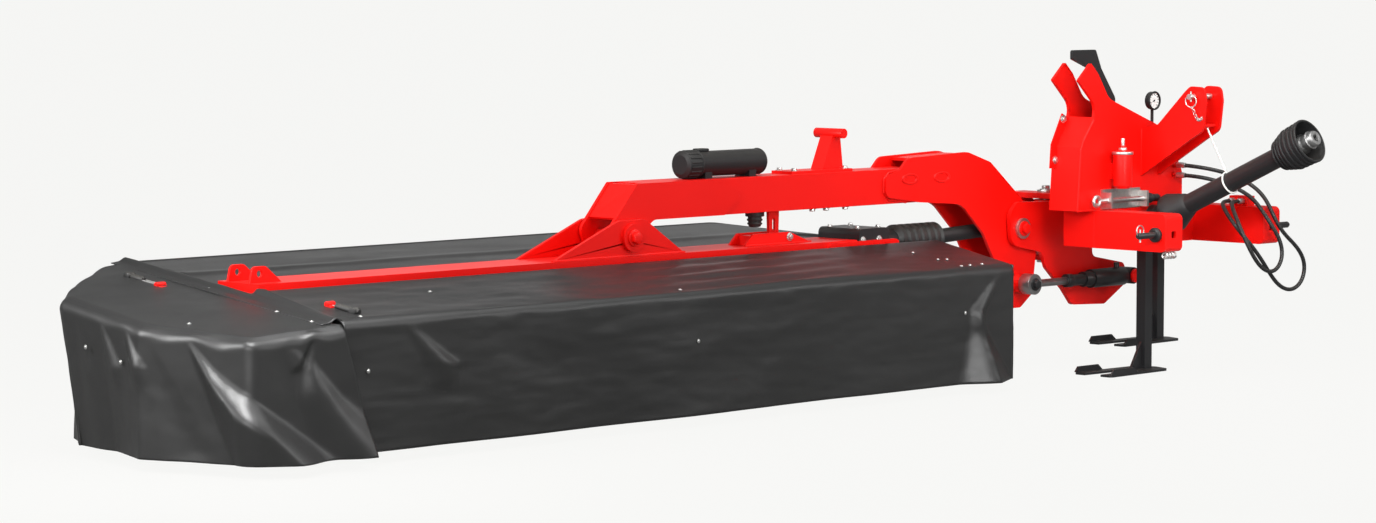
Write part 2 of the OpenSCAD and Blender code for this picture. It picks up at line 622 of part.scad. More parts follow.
module lift_barrel() {
  color(black) placed() {
    difference() {
      union() {
        rod_y(base_x, cyl_y - eye_w / 2, cyl_y + eye_w / 2, base_z, base_eye_r);
        rod_x(base_x - barrel_main, base_x - 48, cyl_y, base_z, barrel_r);
        rod_x(base_x - 50, base_x - 20, cyl_y, base_z, barrel_r - 14);
        rod_x(base_x - barrel_main - 55, base_x - barrel_main + 5, cyl_y, base_z, barrel_r - 8);
        rod_x(base_x - barrel_len, base_x - barrel_main, cyl_y, base_z, rod_r + 9);
        rod_x(base_x - barrel_len - 12, base_x - barrel_len + 24, cyl_y, base_z, rod_r + 13);
      }
      rod_y(base_x, cyl_y - eye_w, cyl_y + eye_w, base_z, base_pin_r + 2 * fit);
      rod_x(eye_x, base_x - 60, cyl_y, base_z, rod_r + fit);
    }
    rod_z(base_x - 90, cyl_y, base_z + barrel_r - 4, base_z + barrel_r + 22, 13);
  }
}
module lift_rod() {
  color(steel) placed() {
    rod_x(eye_x + eye_r - 6, base_x - 100, cyl_y, eye_z, rod_r);
    rod_y(eye_x, cyl_y - eye_w / 2, cyl_y + eye_w / 2, eye_z, eye_r);
  }
}

// arm
module arm_tube() {
  color(red) placed() difference() {
    box([tube_x0, -arm_y, arm_bottom], [tube_x1, arm_y, arm_top]);
    box([tube_x0 - 1, -arm_y + 8, arm_bottom + 8], [tube_x1 + 1, arm_y - 8, arm_top - 8]);
  }
  // slotted link over the bar's stop
  color(red) placed() slab_xz(-8, 8) difference() {
    polygon(rounded([[stop_x - 32, arm_bottom, 0], [stop_x - 28, beam_top + 28, 20], [stop_x + 28, beam_top + 28, 20], [stop_x + 32, arm_bottom, 0]]));
    hull() for (z = [beam_top + 62, arm_bottom - 45]) translate([stop_x, z]) circle(r = 9);
  }
}
fork_outline = [[50, arm_top, 10], [-112, pivot_height + 30, 40], [-fork_r, pivot_height - fork_r, fork_r * 0.9],
  [fork_r, pivot_height - fork_r, fork_r * 0.9], [130, arm_bottom, 50], [560, arm_bottom, 30],
  [650, arm_top - arm_height / 2, 20], [560, arm_top, 30]];
module arm_fork() {
  color(red) placed() {
    both_sides() slab_xz(arm_y, cheek_y) difference() {
      polygon(rounded(fork_outline));
      translate([0, pivot_height]) circle(r = hinge_pin_r + fit);
    }
    slab_xz(-arm_y, arm_y) polygon([[52, arm_top - 4], [-62, pivot_height + 80], [-51, pivot_height + 72],
      [70, arm_top - 4]]);
  }
}
neck_outline = [[hinge_x - 875, arm_bottom + 30, 36], [hinge_x - 875, arm_top - 30, 36], [hinge_x - 780, arm_top - 5, 40],
  [hinge_x - 730, arm_top + 45, 60], [hinge_x - 340, arm_top + 58, 120], [hinge_x - 185, arm_top + 8, 60],
  [hinge_x + 22, hinge_z + 137, 90], [hinge_x + 125, hinge_z + 40, 90], [hinge_x + 135, hinge_z - 90, 80],
  [eye_x + 115, eye_z - 55, 40], [eye_x + 35, eye_z - 112, 30], [eye_x - 25, eye_z - 112, 30],
  [eye_x - 115, eye_z - 20, 60], [hinge_x - 150, hinge_z - 143, 50],
  [hinge_x - 230, hinge_z - 13, 80], [hinge_x - 380, arm_bottom - 20, 120], [hinge_x - 660, arm_bottom, 60]];
module arm_neck() {
  color(red) placed() {
    both_sides() slab_xz(arm_y, cheek_y) difference() {
      polygon(rounded(neck_outline));
      translate([hinge_x, hinge_z]) circle(r = hinge_pin_r + fit);
    }
    slab_xz(-arm_y, arm_y) polygon([[tube_x1 + 5, arm_top + 40], [hinge_x - 340, arm_top + 51], [hinge_x - 187, arm_top + 1],
      [hinge_x - 70, hinge_z + 190], [hinge_x - 78, hinge_z + 178], [hinge_x - 192, arm_top - 11],
      [hinge_x - 342, arm_top + 38], [tube_x1 + 5, arm_top + 27]]);
    rod_y(eye_x, cyl_y + eye_w / 2 + 5, -cheek_y, eye_z, boss_r);
  }
}
post_x = 1290;
module rest_post() {
  color(red) placed() {
    box([post_x - 300, -60, arm_top], [post_x + 75, 60, arm_top + 12]);
    slab_xz(-35, 35) polygon([[post_x - 85, arm_top + 12], [post_x - 24, arm_top + 152], [post_x + 24, arm_top + 152],
      [post_x + 42, arm_top + 12]]);
    rod_y(post_x, -80, 80, arm_top + 163, 21);
  }
}
tube_r = 53;
tube_z = arm_top + 60;
tube_at = 385;
module document_tube() {
  color(black) placed() {
    translate([tube_at, 0, tube_z]) rotate([0, 90, 0]) rotate_extrude() polygon([[0, 0], [40, 0], [tube_r + 4, 8],
      [tube_r + 4, 85], [tube_r, 88], [tube_r, 462], [46, 470], [0, 470]]);
    for (x = [tube_at + 105, tube_at + 365]) difference() {
      box([x, -42, arm_top], [x + 40, 42, tube_z]);
      rod_x(x - 1, x + 41, 0, tube_z, tube_r);
    }
  }
}
boot_x0 = first_x + gear_half + 140;
boot_x1 = boot_x0 + 280;
boot_r = 68;
drive_z = hinge_z - 22;
shaft_dip = atan((hinge_z - drive_z) / (hinge_x - boot_x1 + 20));
module drive_shaft() {
  color(black) placed() {
    translate([hinge_x, 0, hinge_z]) rotate([0, -shaft_dip, 0]) {
      sphere(r = ball_r);
      rod_x(boot_x1 - 40 - hinge_x, 0, 0, 0, shaft_r);
      translate([-150, 0, 0]) rotate([0, 90, 0]) cylinder(h = 100, r1 = shaft_r, r2 = ball_r - 12);
    }
  }
}

// cutter bar
module frame_beam() {
  color(red) placed() {
    difference() {
      box([beam_x0, -beam_y, beam_bottom], [beam_x1, beam_y, beam_top]);
      box([beam_x0 + beam_wall, -beam_y + beam_wall, beam_bottom + beam_wall], [beam_x1 + 1, beam_y - beam_wall, beam_top - beam_wall]);
    }
    both_sides() slab_xz(beam_y, beam_y + side_plate) polygon(rounded([[beam_x1 - 190, beam_top - gear_drop + 3, 20],
      [beam_x1 - 190, beam_top - 5, 30], [gear_end, beam_top - 5, 30], [gear_end, beam_top - gear_drop + 3, 20]]));
    // ears at the outer end
    for (y = [-70, 58]) slab_xz(y, y + 12) difference() {
      polygon(rounded([[beam_x0, beam_top, 0], [beam_x0 + 15, beam_top + 62, 22], [beam_x0 + 75, beam_top + 62, 22],
        [beam_x0 + 150, beam_top, 0]]));
      translate([beam_x0 + 46, beam_top + 34]) circle(r = 13);
    }
    // hinge ears for the front cover
    for (i = [0:3]) slab_yz(ear_x + i * ear_step, ear_x + i * ear_step + 10)
      difference() {
        union() {
          translate([hinge_y, roof - 19]) circle(r = 14);
          translate([hinge_y, roof - 43]) square([-beam_y - hinge_y, 18]);
        }
        translate([hinge_y, roof - 19]) circle(r = rod_hinge_r + fit);
      }
    // and for the outer flap
    end_local() for (y = [front_reach - 100, front_reach + 90]) slab_xz(y, y + 12) difference() {
      union() {
        translate([0, -18]) circle(r = 14);
        translate([0, -42]) square([beam_x0 - end_x, 18]);
      }
      translate([0, -18]) circle(r = rod_hinge_r + fit);
    }
  }
}
hanger_y = row_y + knife_reach + 20;
module bar_hangers() {
  color(red) placed() for (k = [0.5, 2.5, 5.5, 7.5])
    slab_yz(last_x + k * disc_pitch - 6, last_x + k * disc_pitch + 6)
      polygon([[30, beam_bottom], [beam_y - 8, beam_bottom], [hanger_y + 40, 350], [hanger_y + 40, shoe_height + 6],
        [bar_rear, shoe_height + 6], [bar_rear, bar_top - 6], [hanger_y, bar_top - 6], [hanger_y, 335],
        [80, beam_bottom - 40], [30, beam_bottom - 40]]);
}
module pivot_bracket() {
  color(red) placed() both_sides() slab_xz(bracket_y, bracket_y + bracket_t) difference() {
    polygon(rounded([[-440, beam_top, 0], [-75, pivot_height + 72, 80], [75, pivot_height + 72, 80], [300, beam_top, 0]]));
    translate([0, pivot_height]) circle(r = hinge_pin_r);
  }
}
module pivot_pin() {
  color(red) placed() {
    rod_y(0, -bracket_y - bracket_t, bracket_y + bracket_t, pivot_height, hinge_pin_r);
    for (s = [-1, 1]) rod_y(0, s < 0 ? -bracket_y - bracket_t - 16 : bracket_y + bracket_t,
      s < 0 ? -bracket_y - bracket_t : bracket_y + bracket_t + 16, pivot_height, hinge_pin_r + 26);
  }
}
module bar_gearbox() {
  color(black) placed() {
    slab_xz(-beam_y, beam_y) polygon(rounded([[first_x - gear_half, beam_top - gear_drop, 20], [first_x - gear_half, beam_top + 45, 25],
      [first_x + gear_half, beam_top + 45, 25], [first_x + gear_half, beam_top - gear_drop, 20]]));
    rod_x(first_x + gear_half, boot_x0, 0, drive_z, 50);
    rod_z(first_x, row_y, disc_top + 8, beam_top - gear_drop, 74);
  }
}
module drive_boot() {
  color(black) placed() translate([boot_x0, 0, drive_z]) rotate([0, 90, 0]) rotate_extrude()
    polygon(concat([[0, 0], [52, 0]], [for (i = [0:5]) each [[boot_r - 8, 10 + i * 44], [boot_r, 18 + i * 44], [boot_r, 38 + i * 44],
      [boot_r - 8, 46 + i * 44]]], [[boot_r, 280], [boot_r - 12, 280], [boot_r - 14, 200], [0, 200]]));
}
module cutter_bar() {
  color(red) placed() {
    slab_yz(last_x - 175, first_x + 175) polygon(rounded([[bar_front, shoe_height, 10], [bar_rear, shoe_height, 10],
      [bar_rear, bar_top, 14], [bar_front, bar_top, 14]]));
    for (i = [0:disc_count - 1]) rod_z(first_x - i * disc_pitch, row_y, bar_top, bar_top + boss_h, 72);
  }
}
module shoes() {
  color(steel) placed() for (i = [0:disc_count - 1]) intersection() {
    slab_yz(first_x - i * disc_pitch - 200, first_x - i * disc_pitch + 200)
      polygon([[bar_front - 62, bar_top - 16], [bar_front - 70, bar_top - 26], [bar_front + 10, 0], [bar_rear - 15, 0],
        [bar_rear, shoe_height], [bar_front - 5, shoe_height], [bar_front - 45, bar_top - 14]]);
    rod_z(first_x - i * disc_pitch, row_y, -1, bar_top, 196);
  }
}
module disc() {
  difference() {
    union() {
      intersection() {
        rotate_extrude() polygon([[0, flange_z], [disc_half_length, flange_z], [disc_half_length, flange_z + 7],
          [110, flange_z + 20], [72, flange_z + 36], [60, flange_z + dome_h], [0, flange_z + dome_h]]);
        slab_xy(flange_z - 1, disc_top + 1) intersection() {
          circle(r = disc_half_length);
          translate([0, 260 - disc_half_width]) circle(r = 260);
          translate([0, disc_half_width - 260]) circle(r = 260);
        }
      }
      rod_z(0, 0, flange_z - hub_h, flange_z, 64);
      for (s = [0, 180]) rotate([0, 0, s]) {
        slab_xy(flange_z - knife_t, flange_z) polygon([[disc_half_length - 55, -knife_width / 2], [knife_reach - 3, -knife_width / 2],
          [knife_reach, -knife_width / 2 + 8], [knife_reach, knife_width / 2 - 8], [knife_reach - 3, knife_width / 2],
          [disc_half_length - 55, knife_width / 2]]);
        rod_z(disc_half_length - 30, 0, flange_z + 5, flange_z + 22, 15);
      }
    }
  }
}
module disc_n(i) {
  color(red) placed() translate([first_x - (i - 1) * disc_pitch, row_y, 0]) rotate([0, 0, i % 2 == 1 ? 90 : 0]) disc();
}
module disc_1() { disc_n(1); }
module disc_2() { disc_n(2); }
module disc_3() { disc_n(3); }
module disc_4() { disc_n(4); }
module disc_5() { disc_n(5); }
module disc_6() { disc_n(6); }
module disc_7() { disc_n(7); }
module disc_8() { disc_n(8); }
module disc_9() { disc_n(9); }
module roll_stop() {
  color(red) placed() {
    both_sides() slab_xz(38, 50) polygon(rounded([[stop_x - 220, beam_top, 0], [stop_x - 170, beam_top + 48, 15],
      [stop_x + 50, beam_top + 48, 15], [stop_x + 180, beam_top, 0]]));
    slab_xz(-38, 38) polygon([[stop_x - 165, beam_top], [stop_x - 165, beam_top + 40], [stop_x - 60, beam_top + 40], [stop_x - 60, beam_top]]);
  }
}

// covers
module front_local() { translate([0, hinge_y, roof]) rotate([front_tilt, 0, 0]) children(); }
module rear_local() { translate([0, rear_y, roof]) rotate([rear_tilt, 0, 0]) children(); }
module end_local() { translate([end_x, -front_reach, front_edge]) rotate([end_tilt, 0, 0]) children(); }
module cover_frame() {
  color(black) placed() rear_local() {
    rod_x(cover_x0 + 20, rear_x1 - 20, rear_len - 30, -rail_r, rail_r);
    for (i = [0:4]) translate([cover_x0 + 60 + i * (rear_x1 - cover_x0 - 240) / 4, fit, -10]) cube([40, rear_len - 40, 10 - fit]);
  }
}
module rear_top() {
  color(grey) placed() rear_local() linear_extrude(cloth) polygon([[cover_x0, 1], [cover_x0, rear_len], [rear_x1, rear_len],
    [rear_x1 + 240, rear_len - 340 / cos(rear_tilt)], [first_x + 160, 35], [first_x + 160, side_plate + 1], [beam_x1 - 191, side_plate + 1],
    [beam_x1 - 191, 1]]);
}
module rear_curtain() {
  color(grey) placed() wall(rear_path, moved(rear_path, -cloth), hem,
    [for (p = rear_path) roof + (p[1] - rear_y) * rear_slope - 1]);
}
module front_frame() {
  color(black) placed() {
    rod_x(cover_x0 + 40, cover_x1 - 40, hinge_y, roof - 19, rod_hinge_r);
    front_local() {
      rod_x(cover_x0 + 20, cover_x1 - 20, -front_len + 65, -rail_r, rail_r);
      for (i = [0:4]) translate([cover_x0 + 60 + i * (cover_x1 - cover_x0 - 160) / 4, -front_len + 69, -14]) cube([40, front_len - 73, 14 - fit]);
    }
  }
}
module front_top() {
  color(grey) placed() front_local() translate([cover_x0, -front_len, 0]) cube([cover_x1 - cover_x0, front_len - 2, cloth]);
}
module inner_curtain() {
  color(grey) placed() slab_yz(cover_x1, cover_x1 + cloth) polygon([[-front_reach, hem], [hinge_y - 10, hem],
    [hinge_y - 10, roof + cloth - 10 * tan(front_tilt)], [-front_reach, front_edge + cloth]]);
}
module front_curtain() {
  color(grey) placed() box([curtain_x0, -front_reach - cloth - fit, hem], [cover_x1 - 6, -front_reach - fit, front_edge]);
}
module end_frame() {
  color(black) placed() end_local() {
    rod_y(0, 60, rear_reach + front_reach - 60, -18, rod_hinge_r);
    rotate([0, -end_fall, 0]) for (k = [0.1, 0.45, 0.78]) translate([-end_reach + 165, k * (front_reach + rear_reach), -18]) cube([end_reach - 165, 40, 18 - fit]);
  }
}
module end_top() {
  q = concat([[end_x, end_path[0][1] + 99 / 484 * 75]], [for (i = [1:6]) end_path[i]]);
  color(grey) placed() prism(q, [for (p = q) end_z(p)], [for (p = q) end_z(p) + cloth]);
}
module end_curtain() {
  color(grey) placed() wall(end_path, moved(end_path, -cloth), hem, [for (p = end_path) end_z(p) + cloth]);
}

cross_beam();
hitch_arms();
hitch_pins();
mast();
clevis_plates();
top_pin();
hinge_lugs();
hinge_pins();
head_gearbox();
accumulator();
gauge();
release_rod();
transport_latch();
input_guard();
pto_guard();
pto_sling();
hoses();
stand_socket();
stand();
pto_yoke();
console_plates();
console_webs();
fold_pins();
joint_stub();
lift_barrel();
lift_rod();
arm_tube();
arm_fork();
arm_neck();
rest_post();
document_tube();
drive_shaft();
frame_beam();
bar_hangers();
pivot_bracket();
pivot_pin();
bar_gearbox();
drive_boot();
cutter_bar();
shoes();
roll_stop();
cover_frame();
rear_top();
rear_curtain();
front_frame();
front_top();
inner_curtain();
front_curtain();
end_frame();
end_top();
end_curtain();
disc_1();
disc_2();
disc_3();
disc_4();
disc_5();
disc_6();
disc_7();
disc_8();
disc_9();
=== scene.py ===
import json
import math

import bpy
from mathutils import Matrix, Vector, noise

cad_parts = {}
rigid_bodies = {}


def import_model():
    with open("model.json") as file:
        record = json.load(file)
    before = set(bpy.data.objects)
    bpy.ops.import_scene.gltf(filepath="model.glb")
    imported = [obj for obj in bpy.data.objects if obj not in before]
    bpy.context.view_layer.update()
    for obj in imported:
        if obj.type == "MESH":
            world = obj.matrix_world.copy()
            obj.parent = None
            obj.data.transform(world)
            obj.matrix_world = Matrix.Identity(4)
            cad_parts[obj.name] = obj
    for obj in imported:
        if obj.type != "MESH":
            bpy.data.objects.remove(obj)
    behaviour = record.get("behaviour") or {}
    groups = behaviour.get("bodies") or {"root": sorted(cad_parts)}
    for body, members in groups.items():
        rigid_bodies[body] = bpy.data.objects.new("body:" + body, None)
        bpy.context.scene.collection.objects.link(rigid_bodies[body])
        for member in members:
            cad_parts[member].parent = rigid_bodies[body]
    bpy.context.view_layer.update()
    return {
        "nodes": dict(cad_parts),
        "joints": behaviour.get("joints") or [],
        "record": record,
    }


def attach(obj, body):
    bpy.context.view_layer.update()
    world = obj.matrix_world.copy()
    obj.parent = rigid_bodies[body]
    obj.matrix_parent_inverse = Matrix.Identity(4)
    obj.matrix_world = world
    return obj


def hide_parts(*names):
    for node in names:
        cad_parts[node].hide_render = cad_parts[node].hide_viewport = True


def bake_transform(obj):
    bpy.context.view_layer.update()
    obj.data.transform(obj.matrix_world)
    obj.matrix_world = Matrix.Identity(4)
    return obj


for spare in list(bpy.data.objects):  # whatever the start-up file holds
    bpy.data.objects.remove(spare)

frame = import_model()
nodes = frame["nodes"]
joints = {joint["name"]: joint for joint in frame["joints"]}
barPin = Vector(joints["bar_roll"]["pos_m"])  # places below are measured from the bar's middle pin
print("frame loaded:", len(nodes), "nodes")


def at(x, y, z):
    return Vector((barPin.x + x, barPin.y + y, z))


def clearSelection():
    bpy.ops.object.select_all(action="DESELECT")


def setActive(piece):
    clearSelection()
    piece.select_set(True)
    bpy.context.view_layer.objects.active = piece


# camera at the photograph's viewing angle
cameraSet = {"azimuth": -45.1, "elevation": 4.4, "distance": 16.28, "focalPixels": 3950.0,
             "imageWidth": 1376.0, "sensor": 36.0, "target": (0.430, 0.0, 0.587)}


def makeCamera(s):
    a, e = math.radians(s["azimuth"]), math.radians(s["elevation"])
    back = Vector((math.sin(a) * math.cos(e), -math.cos(a) * math.cos(e), math.sin(e)))
    bpy.ops.object.camera_add(location=at(*s["target"]) + back * s["distance"])
    camera = bpy.context.object
    camera.rotation_mode = "QUATERNION"
    camera.rotation_quaternion = (-back).to_track_quat("-Z", "Y")
    camera.data.sensor_width = s["sensor"]
    camera.data.lens = s["focalPixels"] * s["sensor"] / s["imageWidth"]
    camera.data.clip_end = 200
    bpy.context.scene.camera = camera
    bpy.context.scene.view_settings.view_transform = "Standard"
    print("camera set,", round(camera.data.lens, 1), "mm lens")


makeCamera(cameraSet)


# shader helpers and shared groups
def addNode(tree, kind, **sockets):
    node = tree.nodes.new(kind)
    for name, value in sockets.items():
        node.inputs[name.replace("_", " ")].default_value = value
    return node


def startGroup(name, inputs):  # each group puts out a colour, a roughness and a height for bumps
    group = bpy.data.node_groups.new(name, "ShaderNodeTree")
    for label, kind, value in inputs:
        socket = group.interface.new_socket(label, in_out="INPUT", socket_type=kind)
        socket.default_value = value
    for label, kind in (("Color", "NodeSocketColor"), ("Roughness", "NodeSocketFloat"), ("Height", "NodeSocketFloat")):
        group.interface.new_socket(label, in_out="OUTPUT", socket_type=kind)
    return group, group.nodes.new("NodeGroupInput"), group.nodes.new("NodeGroupOutput")


def addMath(tree, kind, a, b):
    node = tree.nodes.new("ShaderNodeMath")
    node.operation = kind
    for socket, value in zip(node.inputs, (a, b)):
        if isinstance(value, (int, float)):
            socket.default_value = value
        else:
            tree.links.new(value, socket)
    return node.outputs[0]


def addMix(tree, factor, a, b):
    node = tree.nodes.new("ShaderNodeMix")
    node.data_type = "RGBA"
    for socket, value in ((node.inputs[0], factor), (node.inputs[6], a), (node.inputs[7], b)):
        if isinstance(value, (int, float, tuple)):
            socket.default_value = value
        else:
            tree.links.new(value, socket)
    return node.outputs[2]


def makeFilmGroup():  # sprayed coat: faint cloudiness, orange peel and a little dust on faces that look up
    group, source, sink = startGroup("sprayedFilm", [
        ("Color", "NodeSocketColor", (1, 1, 1, 1)), ("Dust Color", "NodeSocketColor", (0.4, 0.36, 0.3, 1)),
        ("Dust", "NodeSocketFloat", 0.06), ("Gloss", "NodeSocketFloat", 0.3), ("Peel", "NodeSocketFloat", 0.2)])
    place = group.nodes.new("ShaderNodeTexCoord").outputs["Object"]
    cloud = addNode(group, "ShaderNodeTexNoise", Scale=2.2, Detail=4.0)
    speck = addNode(group, "ShaderNodeTexNoise", Scale=45.0, Detail=6.0, Roughness=0.7)
    peel = addNode(group, "ShaderNodeTexNoise", Scale=420.0, Detail=2.0)
    for texture in (cloud, speck, peel):
        group.links.new(place, texture.inputs["Vector"])
    facing = group.nodes.new("ShaderNodeSeparateXYZ")
    group.links.new(group.nodes.new("ShaderNodeNewGeometry").outputs["Normal"], facing.inputs[0])
    up = addMath(group, "MAXIMUM", facing.outputs["Z"], 0.0)
    lying = addMath(group, "MULTIPLY", up, speck.outputs["Fac"])
    speckled = addMath(group, "MULTIPLY", lying, source.outputs["Dust"])
    shade = addMath(group, "MULTIPLY_ADD", cloud.outputs["Fac"], 0.16)
    shade.node.inputs[2].default_value = 0.92  # eight hundredths lighter or darker
    tint = group.nodes.new("ShaderNodeVectorMath")
    tint.operation = "SCALE"
    group.links.new(source.outputs["Color"], tint.inputs[0])
    group.links.new(shade, tint.inputs["Scale"])
    dusty = addMix(group, speckled, tint.outputs[0], source.outputs["Dust Color"])
    group.links.new(dusty, sink.inputs["Color"])
    blur = addMath(group, "MULTIPLY", cloud.outputs["Fac"], 0.12)
    rough = addMath(group, "ADD", addMath(group, "ADD", source.outputs["Gloss"], blur), speckled)
    group.links.new(rough, sink.inputs["Roughness"])
    height = addMath(group, "MULTIPLY", peel.outputs["Fac"], source.outputs["Peel"])
    group.links.new(height, sink.inputs["Height"])
    return group


def makeClothGroup():  # coated tarpaulin: fine cross weave under the coat, and scuffs
    group, source, sink = startGroup("coatedWeave", [
        ("Color", "NodeSocketColor", (0.03, 0.03, 0.03, 1)),
        ("Scuff Color", "NodeSocketColor", (0.09, 0.09, 0.09, 1)),
        ("Thread", "NodeSocketFloat", 900.0), ("Gloss", "NodeSocketFloat", 0.36)])
    place = group.nodes.new("ShaderNodeTexCoord").outputs["UV"]
    warp = group.nodes.new("ShaderNodeTexWave")
    weft = group.nodes.new("ShaderNodeTexWave")
    warp.bands_direction, weft.bands_direction = "X", "Y"
    for wave in (warp, weft):
        group.links.new(place, wave.inputs["Vector"])
        group.links.new(source.outputs["Thread"], wave.inputs["Scale"])
    scuff = addNode(group, "ShaderNodeTexNoise", Scale=9.0, Detail=8.0, Roughness=0.65)
    tone = addNode(group, "ShaderNodeTexNoise", Scale=2.0, Detail=3.0)
    for texture in (scuff, tone):
        group.links.new(place, texture.inputs["Vector"])
    ramp = group.nodes.new("ShaderNodeMapRange")
    ramp.inputs["From Min"].default_value, ramp.inputs["From Max"].default_value = 0.56, 0.78
    group.links.new(scuff.outputs["Fac"], ramp.inputs["Value"])
    worn = addMath(group, "MULTIPLY", ramp.outputs["Result"], 0.12)
    scuffed = addMix(group, worn, source.outputs["Color"], source.outputs["Scuff Color"])
    group.links.new(scuffed, sink.inputs["Color"])
    spread = addMath(group, "MULTIPLY", tone.outputs["Fac"], 0.14)
    even = addMath(group, "ADD", source.outputs["Gloss"], spread)
    rough = addMath(group, "ADD", even, addMath(group, "MULTIPLY", worn, 0.4))
    group.links.new(rough, sink.inputs["Roughness"])
    weave = addMath(group, "MULTIPLY", warp.outputs["Fac"], weft.outputs["Fac"])
    group.links.new(weave, sink.inputs["Height"])
    return group


def makeMetalGroup():  # bare metal: spangle, with darker patches and a fine grain
    group, source, sink = startGroup("bareMetal", [
        ("Color", "NodeSocketColor", (0.6, 0.6, 0.6, 1)), ("Stain", "NodeSocketColor", (0.2, 0.19, 0.18, 1)),
        ("Spangle", "NodeSocketFloat", 60.0), ("Gloss", "NodeSocketFloat", 0.3)])
    place = group.nodes.new("ShaderNodeTexCoord").outputs["Object"]
    cells = group.nodes.new("ShaderNodeTexVoronoi")
    grain = addNode(group, "ShaderNodeTexNoise", Scale=160.0, Detail=5.0)
    group.links.new(place, cells.inputs["Vector"])
    group.links.new(place, grain.inputs["Vector"])
    group.links.new(source.outputs["Spangle"], cells.inputs["Scale"])
    patch = addMath(group, "MULTIPLY", cells.outputs["Distance"], 0.5)
    group.links.new(addMix(group, patch, source.outputs["Color"], source.outputs["Stain"]), sink.inputs["Color"])
    rough = addMath(group, "ADD", source.outputs["Gloss"], addMath(group, "MULTIPLY", grain.outputs["Fac"], 0.2))
    group.links.new(rough, sink.inputs["Roughness"])
    group.links.new(grain.outputs["Fac"], sink.inputs["Height"])
    return group


groups = {"film": makeFilmGroup(), "cloth": makeClothGroup(), "metal": makeMetalGroup()}


def makeMaterial(name, s):
    material = bpy.data.materials.new(name)
    material.use_nodes = True
    tree = material.node_tree
    shader = tree.nodes["Principled BSDF"]
    grain = tree.nodes.new("ShaderNodeGroup")
    grain.node_tree = groups[s["group"]]
    for label, value in s["grain"].items():
        grain.inputs[label].default_value = value
    bump = addNode(tree, "ShaderNodeBump", Strength=s["bump"][0], Distance=s["bump"][1])
    tree.links.new(grain.outputs["Color"], shader.inputs["Base Color"])
    tree.links.new(grain.outputs["Roughness"], shader.inputs["Roughness"])
    tree.links.new(grain.outputs["Height"], bump.inputs["Height"])
    tree.links.new(bump.outputs["Normal"], shader.inputs["Normal"])
    for label, value in s.get("shader", {}).items():
        shader.inputs[label].default_value = value
    material.diffuse_color = s["grain"]["Color"]
    return material


finishes = {
    "redPaint": {"group": "film", "bump": (0.08, 0.0006),
                 "shader": {"Specular IOR Level": 0.2, "Coat Weight": 0.04, "Coat Roughness": 0.1},
                 "grain": {"Color": (0.74, 0.0040, 0.002, 1), "Gloss": 0.32, "Dust": 0.03, "Peel": 0.5}},
    "blackPaint": {"group": "film", "bump": (0.1, 0.0006), "shader": {"Specular IOR Level": 0.4, "Coat Weight": 0.1},
                   "grain": {"Color": (0.014, 0.014, 0.015, 1), "Gloss": 0.3, "Dust": 0.08, "Peel": 0.6}},
    "blackPlastic": {"group": "film", "bump": (0.25, 0.0008), "shader": {"Specular IOR Level": 0.32},
                     "grain": {"Color": (0.013, 0.013, 0.014, 1), "Gloss": 0.42, "Dust": 0.1, "Peel": 1.0}},
    "blackRubber": {"group": "film", "bump": (0.3, 0.0008), "shader": {},
                    "grain": {"Color": (0.011, 0.011, 0.011, 1), "Gloss": 0.45, "Dust": 0.12, "Peel": 1.0}},
    "coverCloth": {"group": "cloth", "bump": (0.12, 0.0004), "shader": {"Specular IOR Level": 0.55},
                   "grain": {"Color": (0.014, 0.014, 0.014, 1), "Scuff Color": (0.045, 0.045, 0.046, 1),
                             "Gloss": 0.34}},
    "galvanised": {"group": "metal", "bump": (0.15, 0.0006), "shader": {"Metallic": 0.95},
                   "grain": {"Color": (0.68, 0.68, 0.66, 1), "Stain": (0.4, 0.4, 0.39, 1),
                             "Spangle": 70.0, "Gloss": 0.26}},
    "bareSteel": {"group": "metal", "bump": (0.2, 0.0006), "shader": {"Metallic": 1.0},
                  "grain": {"Color": (0.5, 0.5, 0.5, 1), "Stain": (0.22, 0.21, 0.2, 1),
                            "Spangle": 25.0, "Gloss": 0.3}},
    "dialWhite": {"group": "film", "bump": (0.05, 0.0004), "shader": {},
                  "grain": {"Color": (0.8, 0.8, 0.78, 1), "Gloss": 0.2, "Dust": 0.05, "Peel": 0.2}},
    "whiteCord": {"group": "film", "bump": (0.4, 0.001), "shader": {},
                  "grain": {"Color": (0.72, 0.72, 0.69, 1), "Gloss": 0.7, "Dust": 0.1, "Peel": 1.0}},
}
materials = {name: makeMaterial(name, s) for name, s in finishes.items()}
slotFinish = {"red_paint": "redPaint", "black_paint": "blackPaint", "black_plastic": "blackPlastic",
              "rubber": "blackRubber", "pvc_cloth": "coverCloth", "zinc": "galvanised", "steel": "bareSteel",
              "white_cord": "whiteCord"}
for row in frame["record"]["subparts"]:
    piece = nodes[row["node"]]
    piece.data.materials.clear()
    piece.data.materials.append(materials[slotFinish[row["material_slot"]]])
print("materials made:", len(materials))

edgeSet = {"merge": 0.00001, "segments": 2, "angle": 32,
           "widths": {"red_paint": 0.0022, "black_paint": 0.002, "black_plastic": 0.002,
                      "zinc": 0.0012, "steel": 0.0012}}


def softenEdges(s):  # rolled and cut plate never has a knife edge; the discs keep theirs
    for row in frame["record"]["subparts"]:
        width = s["widths"].get(row["material_slot"])
        if width and not row["node"].startswith("disc_"):
            piece = nodes[row["node"]]
            weld = piece.modifiers.new("weld", "WELD")
            weld.merge_threshold = s["merge"]
            bevel = piece.modifiers.new("edges", "BEVEL")
            bevel.width, bevel.segments = width, s["segments"]
            bevel.limit_method, bevel.angle_limit = "ANGLE", math.radians(s["angle"])
            bevel.use_clamp_overlap = True
            bevel.harden_normals = True


softenEdges(edgeSet)
print("edges softened on", len(edgeSet["widths"]), "finishes")


def dress(piece, body, slot, finish=None):
    piece.data.materials.clear()
    piece.data.materials.append(materials[finish or slotFinish[slot]])
    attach(piece, body)
    return piece


